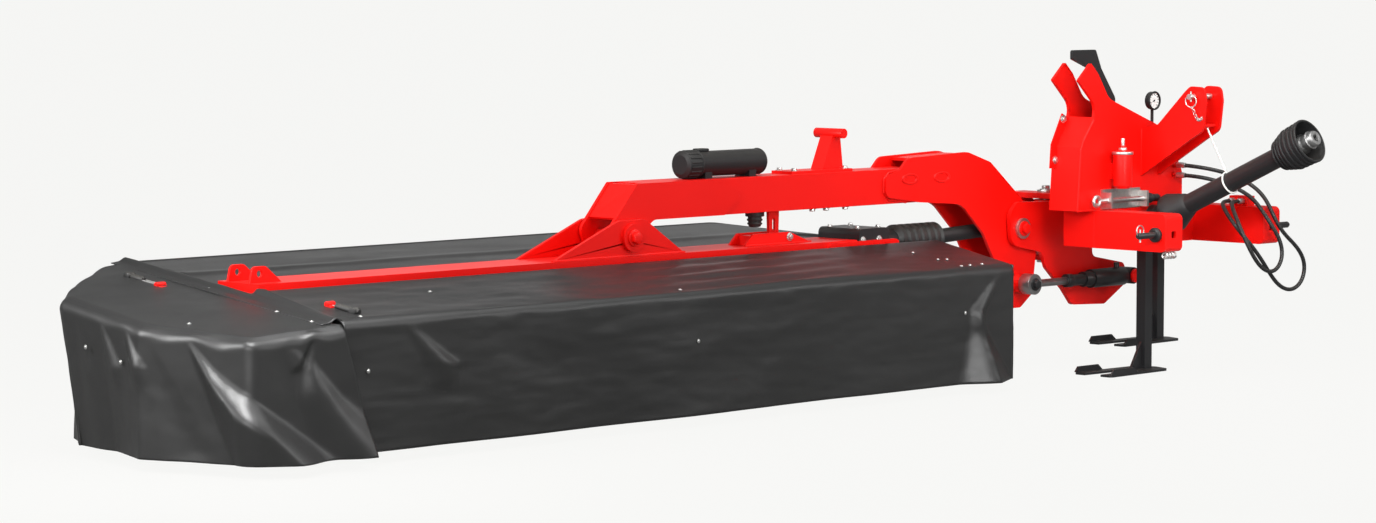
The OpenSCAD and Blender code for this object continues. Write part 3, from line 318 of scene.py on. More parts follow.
# hoses from the mast's bulkhead down in a loop and up to the rest on the right hitch arm
hoseSet = {
    "diameter": 0.018, "steps": 8,
    "hoseUpper": [(3.07, -0.4785, 0.905), (3.07, -0.53, 0.905), (3.09, -0.6, 0.898), (3.155, -0.665, 0.88),
                  (3.225, -0.73, 0.845), (3.245, -0.81, 0.795), (3.22, -0.88, 0.735), (3.215, -0.92, 0.665),
                  (3.26, -0.94, 0.6), (3.34, -0.945, 0.55), (3.41, -0.945, 0.475), (3.39, -0.945, 0.385),
                  (3.3, -0.945, 0.345), (3.2, -0.945, 0.38), (3.125, -0.945, 0.455), (3.055, -0.935, 0.54),
                  (2.985, -0.905, 0.62), (2.985, -0.835, 0.69), (3.045, -0.76, 0.725), (3.11, -0.7, 0.745),
                  (3.165, -0.688, 0.748), (3.2135, -0.688, 0.748)],
    "hoseLower": [(3.07, -0.4785, 0.86), (3.07, -0.53, 0.86), (3.085, -0.6, 0.855), (3.145, -0.665, 0.835),
                  (3.19, -0.74, 0.8), (3.18, -0.82, 0.765), (3.155, -0.89, 0.715), (3.165, -0.935, 0.65),
                  (3.205, -0.955, 0.585), (3.215, -0.965, 0.505), (3.15, -0.97, 0.44), (3.055, -0.97, 0.455),
                  (2.985, -0.96, 0.535), (2.955, -0.93, 0.63), (2.985, -0.87, 0.7), (3.05, -0.8, 0.735),
                  (3.12, -0.75, 0.748), (3.17, -0.738, 0.748), (3.2135, -0.738, 0.748)],
}


def smoothRoute(points, steps):  # cubic B-spline that starts and ends on its end points
    points = [2 * points[0] - points[1]] + points + [2 * points[-1] - points[-2]]
    route = []
    for a, b, c, d in zip(points, points[1:], points[2:], points[3:]):
        for k in range(steps):
            t = k / steps
            route.append((a * (1 - t) ** 3 + b * (3 * t ** 3 - 6 * t ** 2 + 4)
                          + c * (-3 * t ** 3 + 3 * t ** 2 + 3 * t + 1) + d * t ** 3) / 6)
    return route + [points[-2]]


def makeHose(name, s):
    route = smoothRoute([at(*place) for place in s[name]], s["steps"])
    curve = bpy.data.curves.new(name, "CURVE")
    curve.dimensions = "3D"
    curve.bevel_depth, curve.bevel_resolution = s["diameter"] / 2, 5
    curve.use_fill_caps = True
    line = curve.splines.new("POLY")
    line.points.add(len(route) - 1)
    for point, place in zip(line.points, route):
        point.co = (*place, 1)
    line.use_smooth = True
    hose = bpy.data.objects.new(name, curve)
    bpy.context.scene.collection.objects.link(hose)
    dress(hose, "headstock", "rubber")
    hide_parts("hoses")
    long = sum((q - p).length for p, q in zip(route, route[1:]))
    print(name, "is", round(long, 3), "m long")
    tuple(route[0])


for hoseName in ("hoseUpper", "hoseLower"):
    makeHose(hoseName, hoseSet)


# covers: sheets of coated tarpaulin with their folds
coverSet = {"thickness": 0.004, "roll": 0.035, "arcSteps": 8, "hem": 0.045, "leastFlank": 0.004,
            "settle": 4, "fade": 0.25}  # creases grow, and short folds die out, over a quarter of the drop


def sheetFrom(name, rows, uvRows, thickness):
    wide = len(rows[0])
    points = [point for row in rows for point in row]
    faces = [(i * wide + j, (i + 1) * wide + j, (i + 1) * wide + j + 1, i * wide + j + 1)
             for i in range(len(rows) - 1) for j in range(wide - 1)]
    mesh = bpy.data.meshes.new(name)
    mesh.from_pydata(points, [], faces)
    uvLayer = mesh.uv_layers.new(name="cut")
    flatUv = [uv for row in uvRows for uv in row]
    for loop in mesh.loops:
        uvLayer.data[loop.index].uv = flatUv[loop.vertex_index]
    piece = bpy.data.objects.new(name, mesh)
    bpy.context.scene.collection.objects.link(piece)
    setActive(piece)
    bpy.ops.object.shade_smooth()
    wall = piece.modifiers.new("cloth", "SOLIDIFY")
    wall.thickness, wall.offset = thickness, 0
    bpy.ops.object.modifier_apply(modifier=wall.name)
    return piece


def ridge(q):  # soft crest, 1 in the middle and 0 past 1
    q = min(abs(q), 1.0)
    return (1 - q) ** 2 * (1 + 2 * q)


# folds hold start, end, both widths, how far out, and then what differs: from, to, flank and power
def foldOut(folds, along, drop):  # how far the cloth stands out at a place along the edge and a share of the drop
    out = 0.0
    for start, end, (narrow, wide), depth, f in folds:
        top, bottom = f.get("from", 0.0), f.get("to", 1.0)
        share = (drop - top) / (bottom - top)
        if 0 <= share:
            share = min(share, 1.0)
            away = along - start - (end - start) * share
            if away > 0 and "flank" in f:  # flat flank up to a sharp valley
                crest = max(0.0, 1 - away / max(f["flank"] * share, coverSet["leastFlank"]))
            else:
                crest = ridge(away / (narrow + (wide - narrow) * share))
            fade = ridge(max(0.0, drop - bottom) / coverSet["fade"])
            out += depth * share ** f.get("power", 1.0) * crest * fade
    return out


def wrinkle(x, y, kind):  # kind: stretch along and down, seed, size and depth
    along, down, seed, size, depth = kind
    return depth * noise.fractal(Vector((x * along, y * down, seed)) / size, 0.9, 2.0, 3)


frontSet = {
    "x": (-1.928, 1.788), "hinge": (-0.166, 0.6145), "edge": (-0.602, 0.5275), "slope": 0.1995,
    "columns": 330, "topRows": 26, "hangRows": 40,
    "bend": ((0, -0.592, 0.535), (0, -0.606, 0.48)),  # where the top's cloth becomes the curtain's
    "waves": (1, 3, 0.0, 0.5, 0.0045), "creases": (0.6, 4, 2.0, 0.12, 0.0014),
    "tight": 0.1,  # the cloth lies flat this near the hinge
    "pull": {"middle": 0.35, "spread": 0.5, "depth": 0.005, "ripples": 60, "slant": 3, "tight": 0.08},
    "folds": [
        (-1.62, -1.45, (0.03, 0.10), 0.022, {"to": 0.35}),
        (-1.20, -1.05, (0.20, 0.40), 0.014, {"from": 0.05}),
        (-0.30, -0.20, (0.30, 0.50), 0.016, {}),
        (0.70, 0.62, (0.25, 0.45), -0.012, {}),
        (1.70, 1.55, (0.03, 0.06), 0.024, {"to": 0.34}),
        (1.55, 1.62, (0.02, 0.20), 0.085, {"from": 0.30, "flank": 0.16}),
    ],
}


def frontHeight(s, y):
    return s["hinge"][1] + (y - s["hinge"][0]) * s["slope"]


def makeFrontCover(s):
    (x0, x1), roll, arcSteps, pull = s["x"], coverSet["roll"], coverSet["arcSteps"], s["pull"]
    hinge, edge = Vector((0, *s["hinge"])), Vector((0, *s["edge"]))
    slope = (edge - hinge).normalized()
    lean = math.atan2(-slope.z, -slope.y)
    turn = math.pi / 2 - lean
    run = (edge - hinge).length - roll * math.tan(turn / 2)
    bendMid = hinge + slope * run - Vector((0, -math.sin(lean), math.cos(lean))) * roll
    profile = [(hinge + slope * run * i / s["topRows"], run * i / s["topRows"], -1) for i in range(s["topRows"] + 1)]
    for i in range(1, arcSteps + 1):
        a = lean + turn * i / arcSteps
        profile.append((bendMid + Vector((0, -math.sin(a), math.cos(a))) * roll, run + roll * turn * i / arcSteps, 0))
    low = profile[-1][0]
    for i in range(1, s["hangRows"] + 1):
        drop = i / s["hangRows"]
        place = Vector((0, low.y, low.z + (coverSet["hem"] - low.z) * drop))
        profile.append((place, run + roll * turn + low.z - place.z, drop))
    rows, uvRows = [], []
    for i in range(s["columns"] + 1):
        x = x0 + (x1 - x0) * i / s["columns"]
        pulled = pull["depth"] * math.exp(-((x - pull["middle"]) / pull["spread"]) ** 2)
        row = []
        for place, length, drop in profile:
            loose = min(1.0, length / s["tight"])
            sway = (wrinkle(x, length, s["waves"]) + wrinkle(x, length, s["creases"])) * loose
            if drop < 0:
                ripple = math.sin(length * pull["ripples"] + x * pull["slant"]) * min(1.0, length / pull["tight"])
                moved = place + Vector((x, 0, sway + pulled * ripple))
            else:
                moved = place + Vector((x, -sway - foldOut(s["folds"], x, drop), 0))
            row.append(at(*moved))
        rows.append(row)
        uvRows.append([(x - x0, length) for place, length, drop in profile])
    cover = sheetFrom("frontCover", rows, uvRows, coverSet["thickness"])
    cover.data.materials.append(materials["coverCloth"])
    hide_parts("front_top", "front_curtain")
    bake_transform(cover)


makeFrontCover(frontSet)

endSet = {
    "hingeX": -1.960, "front": -0.600, "edge": 0.525, "rise": 0.124, "droop": 0.1111, "seat": 0.0025,
    "path": [(0.099, -0.667), (-0.385, -0.592), (-0.547, -0.160), (-0.517, 0.360), (-0.332, 0.520),
             (-0.130, 0.647), (0.0, 0.647)],
    "corner": 0.07, "step": 0.009, "topRows": 26, "hangRows": 54, "deep": 1.1,
    "hingeSpan": (-0.645, 0.645), "tuck": (-0.02, 0.05),  # where the front corner starts, off the hinge's end
    "bow": (0.006, 0.3), "dents": (1, 1, 3.0, 0.35, 0.005),
    "rimSag": {"depth": 0.016, "waves": 9, "seed": 4, "low": 0.004},
    "creases": (1, 0.6, 5.0, 0.25, 0.0025), "crimps": (1, 0.4, 8.0, 0.09, 0.0006),
    "cut": {"deep": 0.110, "long": 0.42, "power": 1.3},  # front corner cut back at the rim
    "lean": {"deep": 0.075, "from": 0.95, "to": 1.75, "fadeIn": 0.25, "fadeOut": 0.3},  # far side leans in
    "folds": [
        (0.745, 0.350, (0.02, 0.230), 0.105, {"flank": 0.200}),
        (0.300, 0.030, (0.06, 0.20), 0.060, {"from": 0.02, "power": 0.8}),
        (0.180, 0.260, (0.03, 0.07), -0.018, {"to": 0.22, "power": 0.6}),
        (0.900, 0.740, (0.03, 0.13), -0.012, {"from": 0.05, "to": 0.9, "power": 0.9}),
        (1.020, 0.960, (0.02, 0.06), 0.016, {"to": 0.24, "power": 0.5}),
        (1.180, 1.120, (0.02, 0.07), 0.018, {"to": 0.30, "power": 0.5}),
        (1.330, 1.280, (0.03, 0.14), 0.010, {"power": 0.7}),
        (1.800, 1.740, (0.06, 0.14), 0.018, {}),
    ],
}


def filletPath(points, radius, step):  # even places along a line with rounded corners, each with its distance
    corners = [Vector(p) for p in points]
    arcSteps, most = coverSet["arcSteps"], 0.45  # a fillet may take up to that share of a side
    line = [corners[0]]
    for a, b, c in zip(corners, corners[1:], corners[2:]):
        u, v = (a - b).normalized(), (c - b).normalized()
        half = math.acos(max(-1.0, min(1.0, u.dot(v)))) / 2
        reach = min(radius / math.tan(half), most * (a - b).length, most * (c - b).length)
        for k in range(arcSteps + 1):
            t = k / arcSteps
            line.append((b + u * reach) * (1 - t) ** 2 + b * 2 * t * (1 - t) + (b + v * reach) * t ** 2)
    line.append(corners[-1])
    lengths = [0.0]
    for a, b in zip(line, line[1:]):
        lengths.append(lengths[-1] + (b - a).length)
    count = round(lengths[-1] / step)
    path, k = [], 0
    for i in range(count + 1):
        want = lengths[-1] * i / count
        while k < len(line) - 2 and lengths[k + 1] < want:
            k += 1
        t = (want - lengths[k]) / max(lengths[k + 1] - lengths[k], 1e-9)
        path.append((line[k].lerp(line[k + 1], t), want))
    return path


def wayOut(path, i):  # level, and square to the rim
    tangent = (path[min(i + 1, len(path) - 1)][0] - path[max(i - 1, 0)][0]).normalized()
    return Vector((-tangent.y, tangent.x))


def endHeight(s, x, y):  # x is measured from the hinge
    return s["edge"] + (y - s["front"]) * s["rise"] + x * s["droop"] + s["seat"]


def coverRow(s, inner, shoulder, out, rimHigh, sag, topHeight, hangPlace):  # top, roll over the rim, and hanging part
    roll, arcSteps = coverSet["roll"], coverSet["arcSteps"]
    width = (shoulder - inner).length
    row = []
    for k in range(s["topRows"] + 1):
        t = k / s["topRows"]
        spot = inner.lerp(shoulder, t)
        row.append((spot, topHeight(spot, t), t * width))
    for k in range(1, arcSteps + 1):
        a = math.pi / 2 * k / arcSteps
        high = rimHigh + sag * math.sin(a) - roll * (1 - math.cos(a))
        row.append((shoulder + out * roll * math.sin(a), high, width + roll * a))
    footHigh, length = row[-1][1:]
    for k in range(1, s["hangRows"] + 1):
        drop = k / s["hangRows"]
        high = footHigh + (coverSet["hem"] - footHigh) * drop
        row.append((hangPlace(drop), high, length + footHigh - high))
    return row


def makeEndCover(s):
    path = filletPath(s["path"], s["corner"], s["step"])
    total = path[-1][1]
    (y0, y1), cut, lean, dip = s["hingeSpan"], s["cut"], s["lean"], s["rimSag"]
    rows, uvRows = [], []
    for i, (rim, along) in enumerate(path):
        out = wayOut(path, i)
        if rim.x > 0:
            inner = Vector((s["tuck"][0], y0 + s["tuck"][1]))
        else:
            inner = Vector((0.0, y0 + (y1 - y0) * (along / total)))
        backCut = cut["deep"] * ridge(along / cut["long"])
        edge = rim - Vector((backCut, 0))
        shoulder = edge - out * coverSet["roll"]
        bow = s["bow"][0] * min(1.0, (shoulder - inner).length / s["bow"][1])
        sag = dip["depth"] * noise.noise(Vector((along * dip["waves"], 0, dip["seed"]))) - dip["low"]
        leaning = max(0.0, min(1.0, (along - lean["from"]) / lean["fadeIn"], (lean["to"] - along) / lean["fadeOut"]))

        def topHeight(spot, t):
            lift = (bow + wrinkle(spot.x, spot.y, s["dents"])) * math.sin(math.pi * t)
            return endHeight(s, spot.x, spot.y) + lift

        def hangPlace(drop):
            crease = wrinkle(along, drop, s["creases"]) * min(1.0, drop * coverSet["settle"])
            push = foldOut(s["folds"], along, drop) + crease + wrinkle(along, drop, s["crimps"])
            spot = rim + out * (push - lean["deep"] * drop * leaning)
            return spot - Vector((backCut * (1 - drop) ** cut["power"], 0))

        rimHigh = endHeight(s, min(edge.x, 0.0), edge.y)
        row = coverRow(s, inner, shoulder, out, rimHigh, sag, topHeight, hangPlace)
        rows.append([at(s["hingeX"] + spot.x, spot.y, high) for spot, high, length in row])
        uvRows.append([(along, length) for spot, high, length in row])
    cover = sheetFrom("endCover", rows, uvRows, coverSet["thickness"])
    dress(cover, "end_flap", "pvc_cloth")
    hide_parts("end_top", "end_curtain")


makeEndCover(endSet)

rearSet = {
    "inner": (0.1225, 0.6165), "edge": (0.652, 0.6825), "corner": 0.12, "step": 0.013,
    "path": [(-1.928, 0.652), (1.230, 0.652), (1.470, 0.312), (1.600, 0.157)],
    "topRows": 30, "hangRows": 34, "deep": 1.2,
    "notch": (1.135, 0.013),  # past that x the inner edge steps back by that much
    "rib": {"depth": 0.006, "place": 0.42, "spread": 0.05}, "bow": 0.004,
    "dents": (0.4, 2, 7.0, 0.4, 0.004), "creases": (1, 0.6, 9.0, 0.3, 0.006),
    "folds": [
        (-1.3, -1.2, (0.15, 0.35), 0.018, {}),
        (-0.3, -0.4, (0.2, 0.4), 0.015, {}),
        (0.6, 0.7, (0.2, 0.4), 0.02, {}),
    ],
}


def makeRearCover(s):
    path = filletPath(s["path"], s["corner"], s["step"])
    (innerY, innerZ), (edgeY, edgeZ), rib = s["inner"], s["edge"], s["rib"]
    slope = (edgeZ - innerZ) / (edgeY - innerY)
    rows, uvRows = [], []
    for i, (rim, along) in enumerate(path):
        out = wayOut(path, i)
        inner = Vector((rim.x, innerY + (s["notch"][1] if rim.x >= s["notch"][0] else 0.0)))

        def topHeight(spot, t):
            lift = rib["depth"] * math.exp(-((t - rib["place"]) / rib["spread"]) ** 2)
            lift += (s["bow"] + wrinkle(spot.x, spot.y, s["dents"])) * math.sin(math.pi * t)
            return innerZ + (spot.y - innerY) * slope + lift

        def hangPlace(drop):
            crease = wrinkle(along, drop, s["creases"]) * min(1.0, drop * coverSet["settle"])
            return rim + out * (foldOut(s["folds"], rim.x, drop) + crease)

        rimHigh = innerZ + (rim.y - innerY) * slope
        row = coverRow(s, inner, rim - out * coverSet["roll"], out, rimHigh, 0.0, topHeight, hangPlace)
        row.reverse()
        rows.append([at(spot.x, spot.y, z) for spot, z, length in row])
        uvRows.append([(along, length) for spot, z, length in row])
    cover = sheetFrom("rearCover", rows, uvRows, coverSet["thickness"])
    dress(cover, "bar", "pvc_cloth")
    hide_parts("rear_top", "rear_curtain")


makeRearCover(rearSet)

innerSet = {"x": 1.7925, "y": (-0.598, -0.172), "slope": 0.1955, "edge": 0.530, "columns": 46, "rows": 44,
            "sway": (0.022, 2.3), "creases": (1, 1, 11.0, 0.15, 0.004), "settle": 3, "flat": (0.43, 0.57)}


def makeInnerCover(s):
    (y0, y1), (swayDepth, swayTurns) = s["y"], s["sway"]
    rows, uvRows = [], []
    for i in range(s["columns"] + 1):
        y = y0 + (y1 - y0) * i / s["columns"]
        top = s["edge"] + (y - y0) * s["slope"]
        row, uvRow = [], []
        for k in range(s["rows"] + 1):
            drop = k / s["rows"]
            z = top + (coverSet["hem"] - top) * drop
            push = swayDepth * drop * math.sin(math.pi * (y - y0) / (y1 - y0) * swayTurns)
            push += wrinkle(y, z, s["creases"]) * min(1.0, drop * s["settle"])
            row.append(at(s["x"] + push, y, z))
            uvRow.append((y - y0, top - z))
        rows.append(row)
        uvRows.append(uvRow)
    cover = sheetFrom("innerCover", rows, uvRows, coverSet["thickness"])
    dress(cover, "front_flap", "pvc_cloth")
    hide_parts("inner_curtain")


makeInnerCover(innerSet)


# strip of cloth rolled over the end cover's hinge
weltSet = {"x": (-1.935, -1.962, -2.030), "y": (-0.604, 0.640), "rows": 120, "columns": 18, "beam": 0.124,
           "thickness": 0.003, "lift": 0.0065, "fall": 0.9, "wide": 0.106,
           "roll": {"high": 0.010, "half": 0.034, "lumps": 0.25, "along": 9, "across": 20, "seed": 1},
           "bend": ((-1.945, 0, 0.6), (-1.985, 0, 0.6))}


def makeEndWelt(s):
    (right, mid, left), (y0, y1), roll = s["x"], s["y"], s["roll"]
    rows, uvRows = [], []
    for i in range(s["rows"] + 1):
        y = y0 + (y1 - y0) * i / s["rows"]
        low = endHeight(endSet, 0.0, y)
        high = low
        if y < -s["beam"]:  # beside the front cover, which stands a little higher
            high = max(low, frontHeight(frontSet, min(y, frontSet["hinge"][0])))
        row, uvRow = [], []
        for k in range(s["columns"] + 1):
            x = right + (left - right) * (k / s["columns"])
            fall = ridge(max(0.0, right - x) / (right - mid) * s["fall"])
            lumps = 1 + roll["lumps"] * noise.noise(Vector((y * roll["along"], x * roll["across"], roll["seed"])))
            swell = roll["high"] * ridge((x - mid) / roll["half"]) * lumps
            down = endHeight(endSet, min(0.0, x - mid), y) + s["lift"]
            row.append(at(x, y, down + (high - low) * fall + swell))
            uvRow.append((x, y))
        rows.append(row)
        uvRows.append(uvRow)
    welt = sheetFrom("endWelt", rows, uvRows, s["thickness"])
    welt.data.materials.append(materials["coverCloth"])
    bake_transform(welt)


makeEndWelt(weltSet)


# small fittings, each shaped from a primitive
fittingSet = {"sharp": 40, "smooth": 35, "bevelSteps": 2, "tubeSteps": 10}
right, up = Vector((1, 0, 0)), Vector((0, 0, 1))


def finishPrimitive(name, bevel):
    piece = bpy.context.object
    piece.name = piece.data.name = name
    bpy.ops.object.transform_apply(location=True, rotation=True, scale=True)
    if bevel:
        bpy.ops.object.mode_set(mode="EDIT")
        bpy.ops.mesh.select_mode(type="EDGE")
        bpy.ops.mesh.select_all(action="DESELECT")
        bpy.ops.mesh.edges_select_sharp(sharpness=math.radians(fittingSet["sharp"]))
        bpy.ops.mesh.bevel(offset=bevel, segments=fittingSet["bevelSteps"], affect="EDGES")
        bpy.ops.object.mode_set(mode="OBJECT")
    bpy.ops.object.shade_smooth_by_angle(angle=math.radians(fittingSet["smooth"]))
    return piece


def addDrum(a, b, radius, farRadius=None, sides=32, bevel=0.0, name="drum"):
    clearSelection()
    a, b = Vector(a), Vector(b)
    bpy.ops.mesh.primitive_cone_add(vertices=sides, radius1=radius, radius2=radius if farRadius is None else farRadius,
                                    depth=(b - a).length, location=(a + b) / 2,
                                    rotation=(b - a).to_track_quat("Z", "Y").to_euler())
    return finishPrimitive(name, bevel)


def addBlock(low, high, bevel):
    clearSelection()
    low, high = Vector(low), Vector(high)
    bpy.ops.mesh.primitive_cube_add(size=1, location=(low + high) / 2, scale=high - low)
    return finishPrimitive("block", bevel)


def addRing(centre, axis, major, minor, name="ring", steps=40):
    clearSelection()
    bpy.ops.mesh.primitive_torus_add(location=centre, rotation=Vector(axis).to_track_quat("Z", "Y").to_euler(),
                                     major_radius=major, minor_radius=minor, major_segments=steps,
                                     minor_segments=fittingSet["tubeSteps"])
    return finishPrimitive(name, 0.0)


def stackDrums(base, axis, rows):  # rows hold start, end, radius, sides, bevel and, on a taper, the far radius
    return [addDrum(base + axis * start, base + axis * end, radius, taper[0] if taper else None, sides, bevel)
            for start, end, radius, sides, bevel, *taper in rows]


def stackRings(base, axis, rows, steps=40):  # rows hold a place along the axis, the ring's radius and its own
    return [addRing(base + axis * along, axis, radius, size, steps=steps) for along, radius, size in rows]


def joinPieces(name, pieces):
    clearSelection()
    for piece in pieces:
        piece.select_set(True)
    bpy.context.view_layer.objects.active = pieces[0]
    if len(pieces) > 1:
        bpy.ops.object.join()
    pieces[0].name = pieces[0].data.name = name
    return pieces[0]


def placeCopies(name, model, groups):  # groups hold the way they face, a size and their places
    copies = []
    for facing, size, places in groups:
        turn = Vector(facing).to_track_quat("Z", "Y").to_matrix().to_4x4()
        for place in places:
            copy = model.copy()
            copy.data = model.data.copy()
            copy.data.transform(Matrix.Translation(at(*place)) @ turn @ Matrix.Scale(size, 4))
            bpy.context.scene.collection.objects.link(copy)
            copies.append(copy)
    return joinPieces(name, copies)


# bolt: washer, head 2 across its corners and turned face; rivet: flat collar and domed head
fastenerSet = {
    "bolt": [(0, 0.22, 1.35, 28, 0.05), (0.2, 0.95, 1.0, 6, 0.09), (0.9, 1.0, 0.78, 24, 0.03)],
    "rivet": [(-0.1, 0.18, 1.0, 22, 0.06), (0.15, 0.5, 0.72, 22, 0.12, 0.4)],
}
rivetSet = {
    "endRivets": ("end_flap", "zinc", [
        ((0, -0.1, 1), 0.0085, [(-1.985, 0.600, 0.676), (-1.990, 0.482, 0.661), (-1.995, 0.087, 0.6135),
                                (-2.033, -0.354, 0.5585), (-2.028, -0.545, 0.5345)]),
        ((-0.1, -0.1, 1), 0.0085, [(-2.361, -0.262, 0.5300)]),
        ((-1, 0, 0), 0.0085, [(-2.494, 0.176, 0.425), (-2.505, -0.047, 0.387)])]),
    "frontRivets": ("front_flap", "zinc", [
        ((0, -0.2, 1), 0.0085, [(-1.812, -0.560, 0.5395), (1.459, -0.324, 0.5865), (1.484, -0.443, 0.5625),
                                (1.532, -0.452, 0.5605), (1.500, -0.560, 0.5395), (1.562, -0.555, 0.5405),
                                (1.640, -0.555, 0.5405), (-1.278, -0.334, 0.5845), (-0.175, -0.560, 0.5395)])]),
    "curtainRivets": ("front_curtain", "zinc", [
        ((0, -1, 0), 0.008, [(-1.818, -0.6085, 0.345), (-0.127, -0.6135, 0.338), (1.473, -0.6075, 0.346)])]),
}
boltSet = {
    "armBolts": ("arm", "zinc", [
        ((0, 0, 1), 0.012, [(1.02, -0.042, 0.939), (1.02, 0.042, 0.939), (1.335, -0.042, 0.939),
                            (1.335, 0.042, 0.939)]),
        ((0, 0, -1), 0.013, [(1.130, -0.045, 0.777), (1.215, -0.045, 0.777), (1.335, -0.045, 0.777)])]),
    "barBolts": ("bar", "zinc", [
        ((0, -1, 0), 0.013, [(0.985, -0.050, 0.664)]),
        ((0, -1, 0), 0.011, [(1.367, -0.120, 0.634), (1.469, -0.120, 0.634)]),
        ((0, 0, 1), 0.010, [(1.375, -0.080, 0.682), (1.375, 0.080, 0.682), (1.505, -0.080, 0.682),
                            (1.505, 0.080, 0.682)])]),
    "pivotBolt": ("bar", "red_paint", [
        ((0, -1, 0), 0.026, [(0.0, -0.126, 0.712)]), ((0, 1, 0), 0.026, [(0.0, 0.126, 0.712)])]),
    "neckBolt": ("console", "red_paint", [
        ((0, -1, 0), 0.025, [(2.42, -0.130, 0.633)]), ((0, 1, 0), 0.025, [(2.42, 0.130, 0.633)])]),
    "mastBolts": ("headstock", "zinc", [
        ((0, -1, 0), 0.013, [(2.4538, -0.321, 1.125), (2.4006, -0.321, 0.946), (2.7005, -0.388, 1.159)])]),
    "eyeBolt": ("lift_rod", "black_paint", [((0, -1, 0), 0.021, [(2.41, -0.205, 0.388)])]),
    "swingBolt": ("headstock", "zinc", [((0, 0, 1), 0.020, [(2.725, 0.0, 0.788)])]),
}


def makeFasteners(kind, s):
    model = joinPieces(kind + "Model", stackDrums(Vector(), up, fastenerSet[kind]))
    for name, (body, slot, groups) in s.items():
        dress(placeCopies(name, model, groups), body, slot)
    bpy.data.objects.remove(model)
    print(kind, "groups set:", len(s))


makeFasteners("rivet", rivetSet)
makeFasteners("bolt", boltSet)


# drive shaft's bell ribs, splines and collar
shaftSet = {"joint": (2.9, -0.540, 0.680), "rise": 25.0, "ribSize": 0.0055, "ribSteps": 48,
            "ribs": [(0.712, 0.066), (0.733, 0.074), (0.754, 0.082), (0.775, 0.0895), (0.80, 0.0915), (0.825, 0.0925),
                     (0.850, 0.094), (0.866, 0.095)],
            "teeth": 6, "toothOff": 0.0164, "tooth": (0.819, 0.902, 0.0038, 8, 0.0),
            "collar": [(0.875, 0.0365, 0.0045), (0.902, 0.0245, 0.0035)]}


def makeShaftDetails(s):
    rise = math.radians(s["rise"])
    axis = Vector((0, -math.cos(rise), math.sin(rise)))
    start = at(*s["joint"])
    ribs = stackRings(start, axis, [(along, radius, s["ribSize"]) for along, radius in s["ribs"]], s["ribSteps"])
    dress(joinPieces("bellRibs", ribs), "headstock", "black_plastic")
    side = axis.cross(right).normalized()
    teeth = []
    for i in range(s["teeth"]):
        turn = Matrix.Rotation(2 * math.pi * i / s["teeth"], 3, axis)
        teeth += stackDrums(start + turn @ side * s["toothOff"], axis, [s["tooth"]])
    dress(joinPieces("boreSplines", teeth), "pto_yoke", "steel")
    dress(joinPieces("yokeCollar", stackRings(start, axis, s["collar"])), "pto_yoke", "steel")


makeShaftDetails(shaftSet)

gaugeSet = {"centre": (2.945, -0.4402, 1.197), "radius": 0.0352, "thick": 0.0012, "faceSides": 48,
            "ticks": 11, "sweep": 270.0, "tickLift": 0.0018, "tick": (0.025, 0.032, 0.0011, 6, 0.0),
            "handAngle": -2.0, "handLift": 0.0028, "hand": (-0.008, 0.026, 0.0016, 8, 0.0, 0.0006),
            "hub": (0.001, 0.0045, 0.004, 16, 0.0), "bezel": (0.005, 0.0385, 0.0042), "bezelSteps": 56}


def makeGauge(s):
    mid, out = at(*s["centre"]), Vector((0, -1, 0))

    def clockWay(a):
        return Vector((math.sin(a), 0, math.cos(a)))

    face = addDrum(mid, mid + out * s["thick"], s["radius"], sides=s["faceSides"], name="gaugeFace")
    dress(face, "headstock", "white_cord", "dialWhite")
    marks = []
    for i in range(s["ticks"]):
        a = math.radians(-s["sweep"] / 2 + s["sweep"] * i / (s["ticks"] - 1))
        marks += stackDrums(mid + out * s["tickLift"], clockWay(a), [s["tick"]])
    marks += stackDrums(mid + out * s["handLift"], clockWay(s["handAngle"]), [s["hand"]])
    marks += stackDrums(mid, out, [s["hub"]])
    dress(joinPieces("gaugeMarks", marks), "headstock", "black_plastic")
    lift, radius, size = s["bezel"]
    bezel = addRing(mid + out * lift, out, radius, size, name="gaugeBezel", steps=s["bezelSteps"])
    dress(bezel, "headstock", "black_plastic")


makeGauge(gaugeSet)

headSet = {
    "can": (2.6295, -0.518, 0.819), "bracket": (2.5475, -0.498, 0.767),
    "cap": [(0.150, 0.163, 0.0475, 40, 0.003), (0.160, 0.180, 0.020, 6, 0.002), (0.175, 0.222, 0.009, 20, 0.002)],
    "knob": [(0.275, 0.36, 0.019, 24, 0.004, 0.016)], "knobRing": (0.30, 0.019, 0.004),
    "linchPin": {"place": (2.3755, -0.820, 0.635), "pin": (-0.028, 0.03, 0.0045, 14, 0.0),
                 "ringHigh": 0.022, "facing": (0, 1, 0), "ring": (0.024, 0.0028)},
    "clevisPin": {"place": (2.814, -0.750, 1.225), "pin": (-0.022, 0.024, 0.0045, 12, 0.0),
                  "ringHigh": -0.020, "facing": (1, 0.2, 0), "ring": (0.026, 0.0028)},
    "spring": {"place": (2.5175, -0.845, 0.544), "turns": 4, "pitch": 0.02, "facing": (1, 0.3, 0),
               "ring": (0.012, 0.004), "steps": 20},
    "chain": {"start": (2.812, -0.760, 1.179), "end": (2.836, -0.800, 1.135), "links": 11, "sag": 0.03,
              "facings": ((0.2, 1, 0), (1, 0, 0.2)), "ring": (0.0062, 0.0017), "steps": 14},
    "sleeves": [(0, 0.036, 0.0135, 6, 0.001), (0.02, 0.046, 0.0118, 24, 0.001)],
    "farSleeve": [(0, 0.034, 0.0135, 6, 0.001)],
}


def makeRingPin(s):  # upright pin with a pull ring
    place = at(*s["place"])
    return [addRing(place + up * s["ringHigh"], s["facing"], *s["ring"])] + stackDrums(place, up, [s["pin"]])


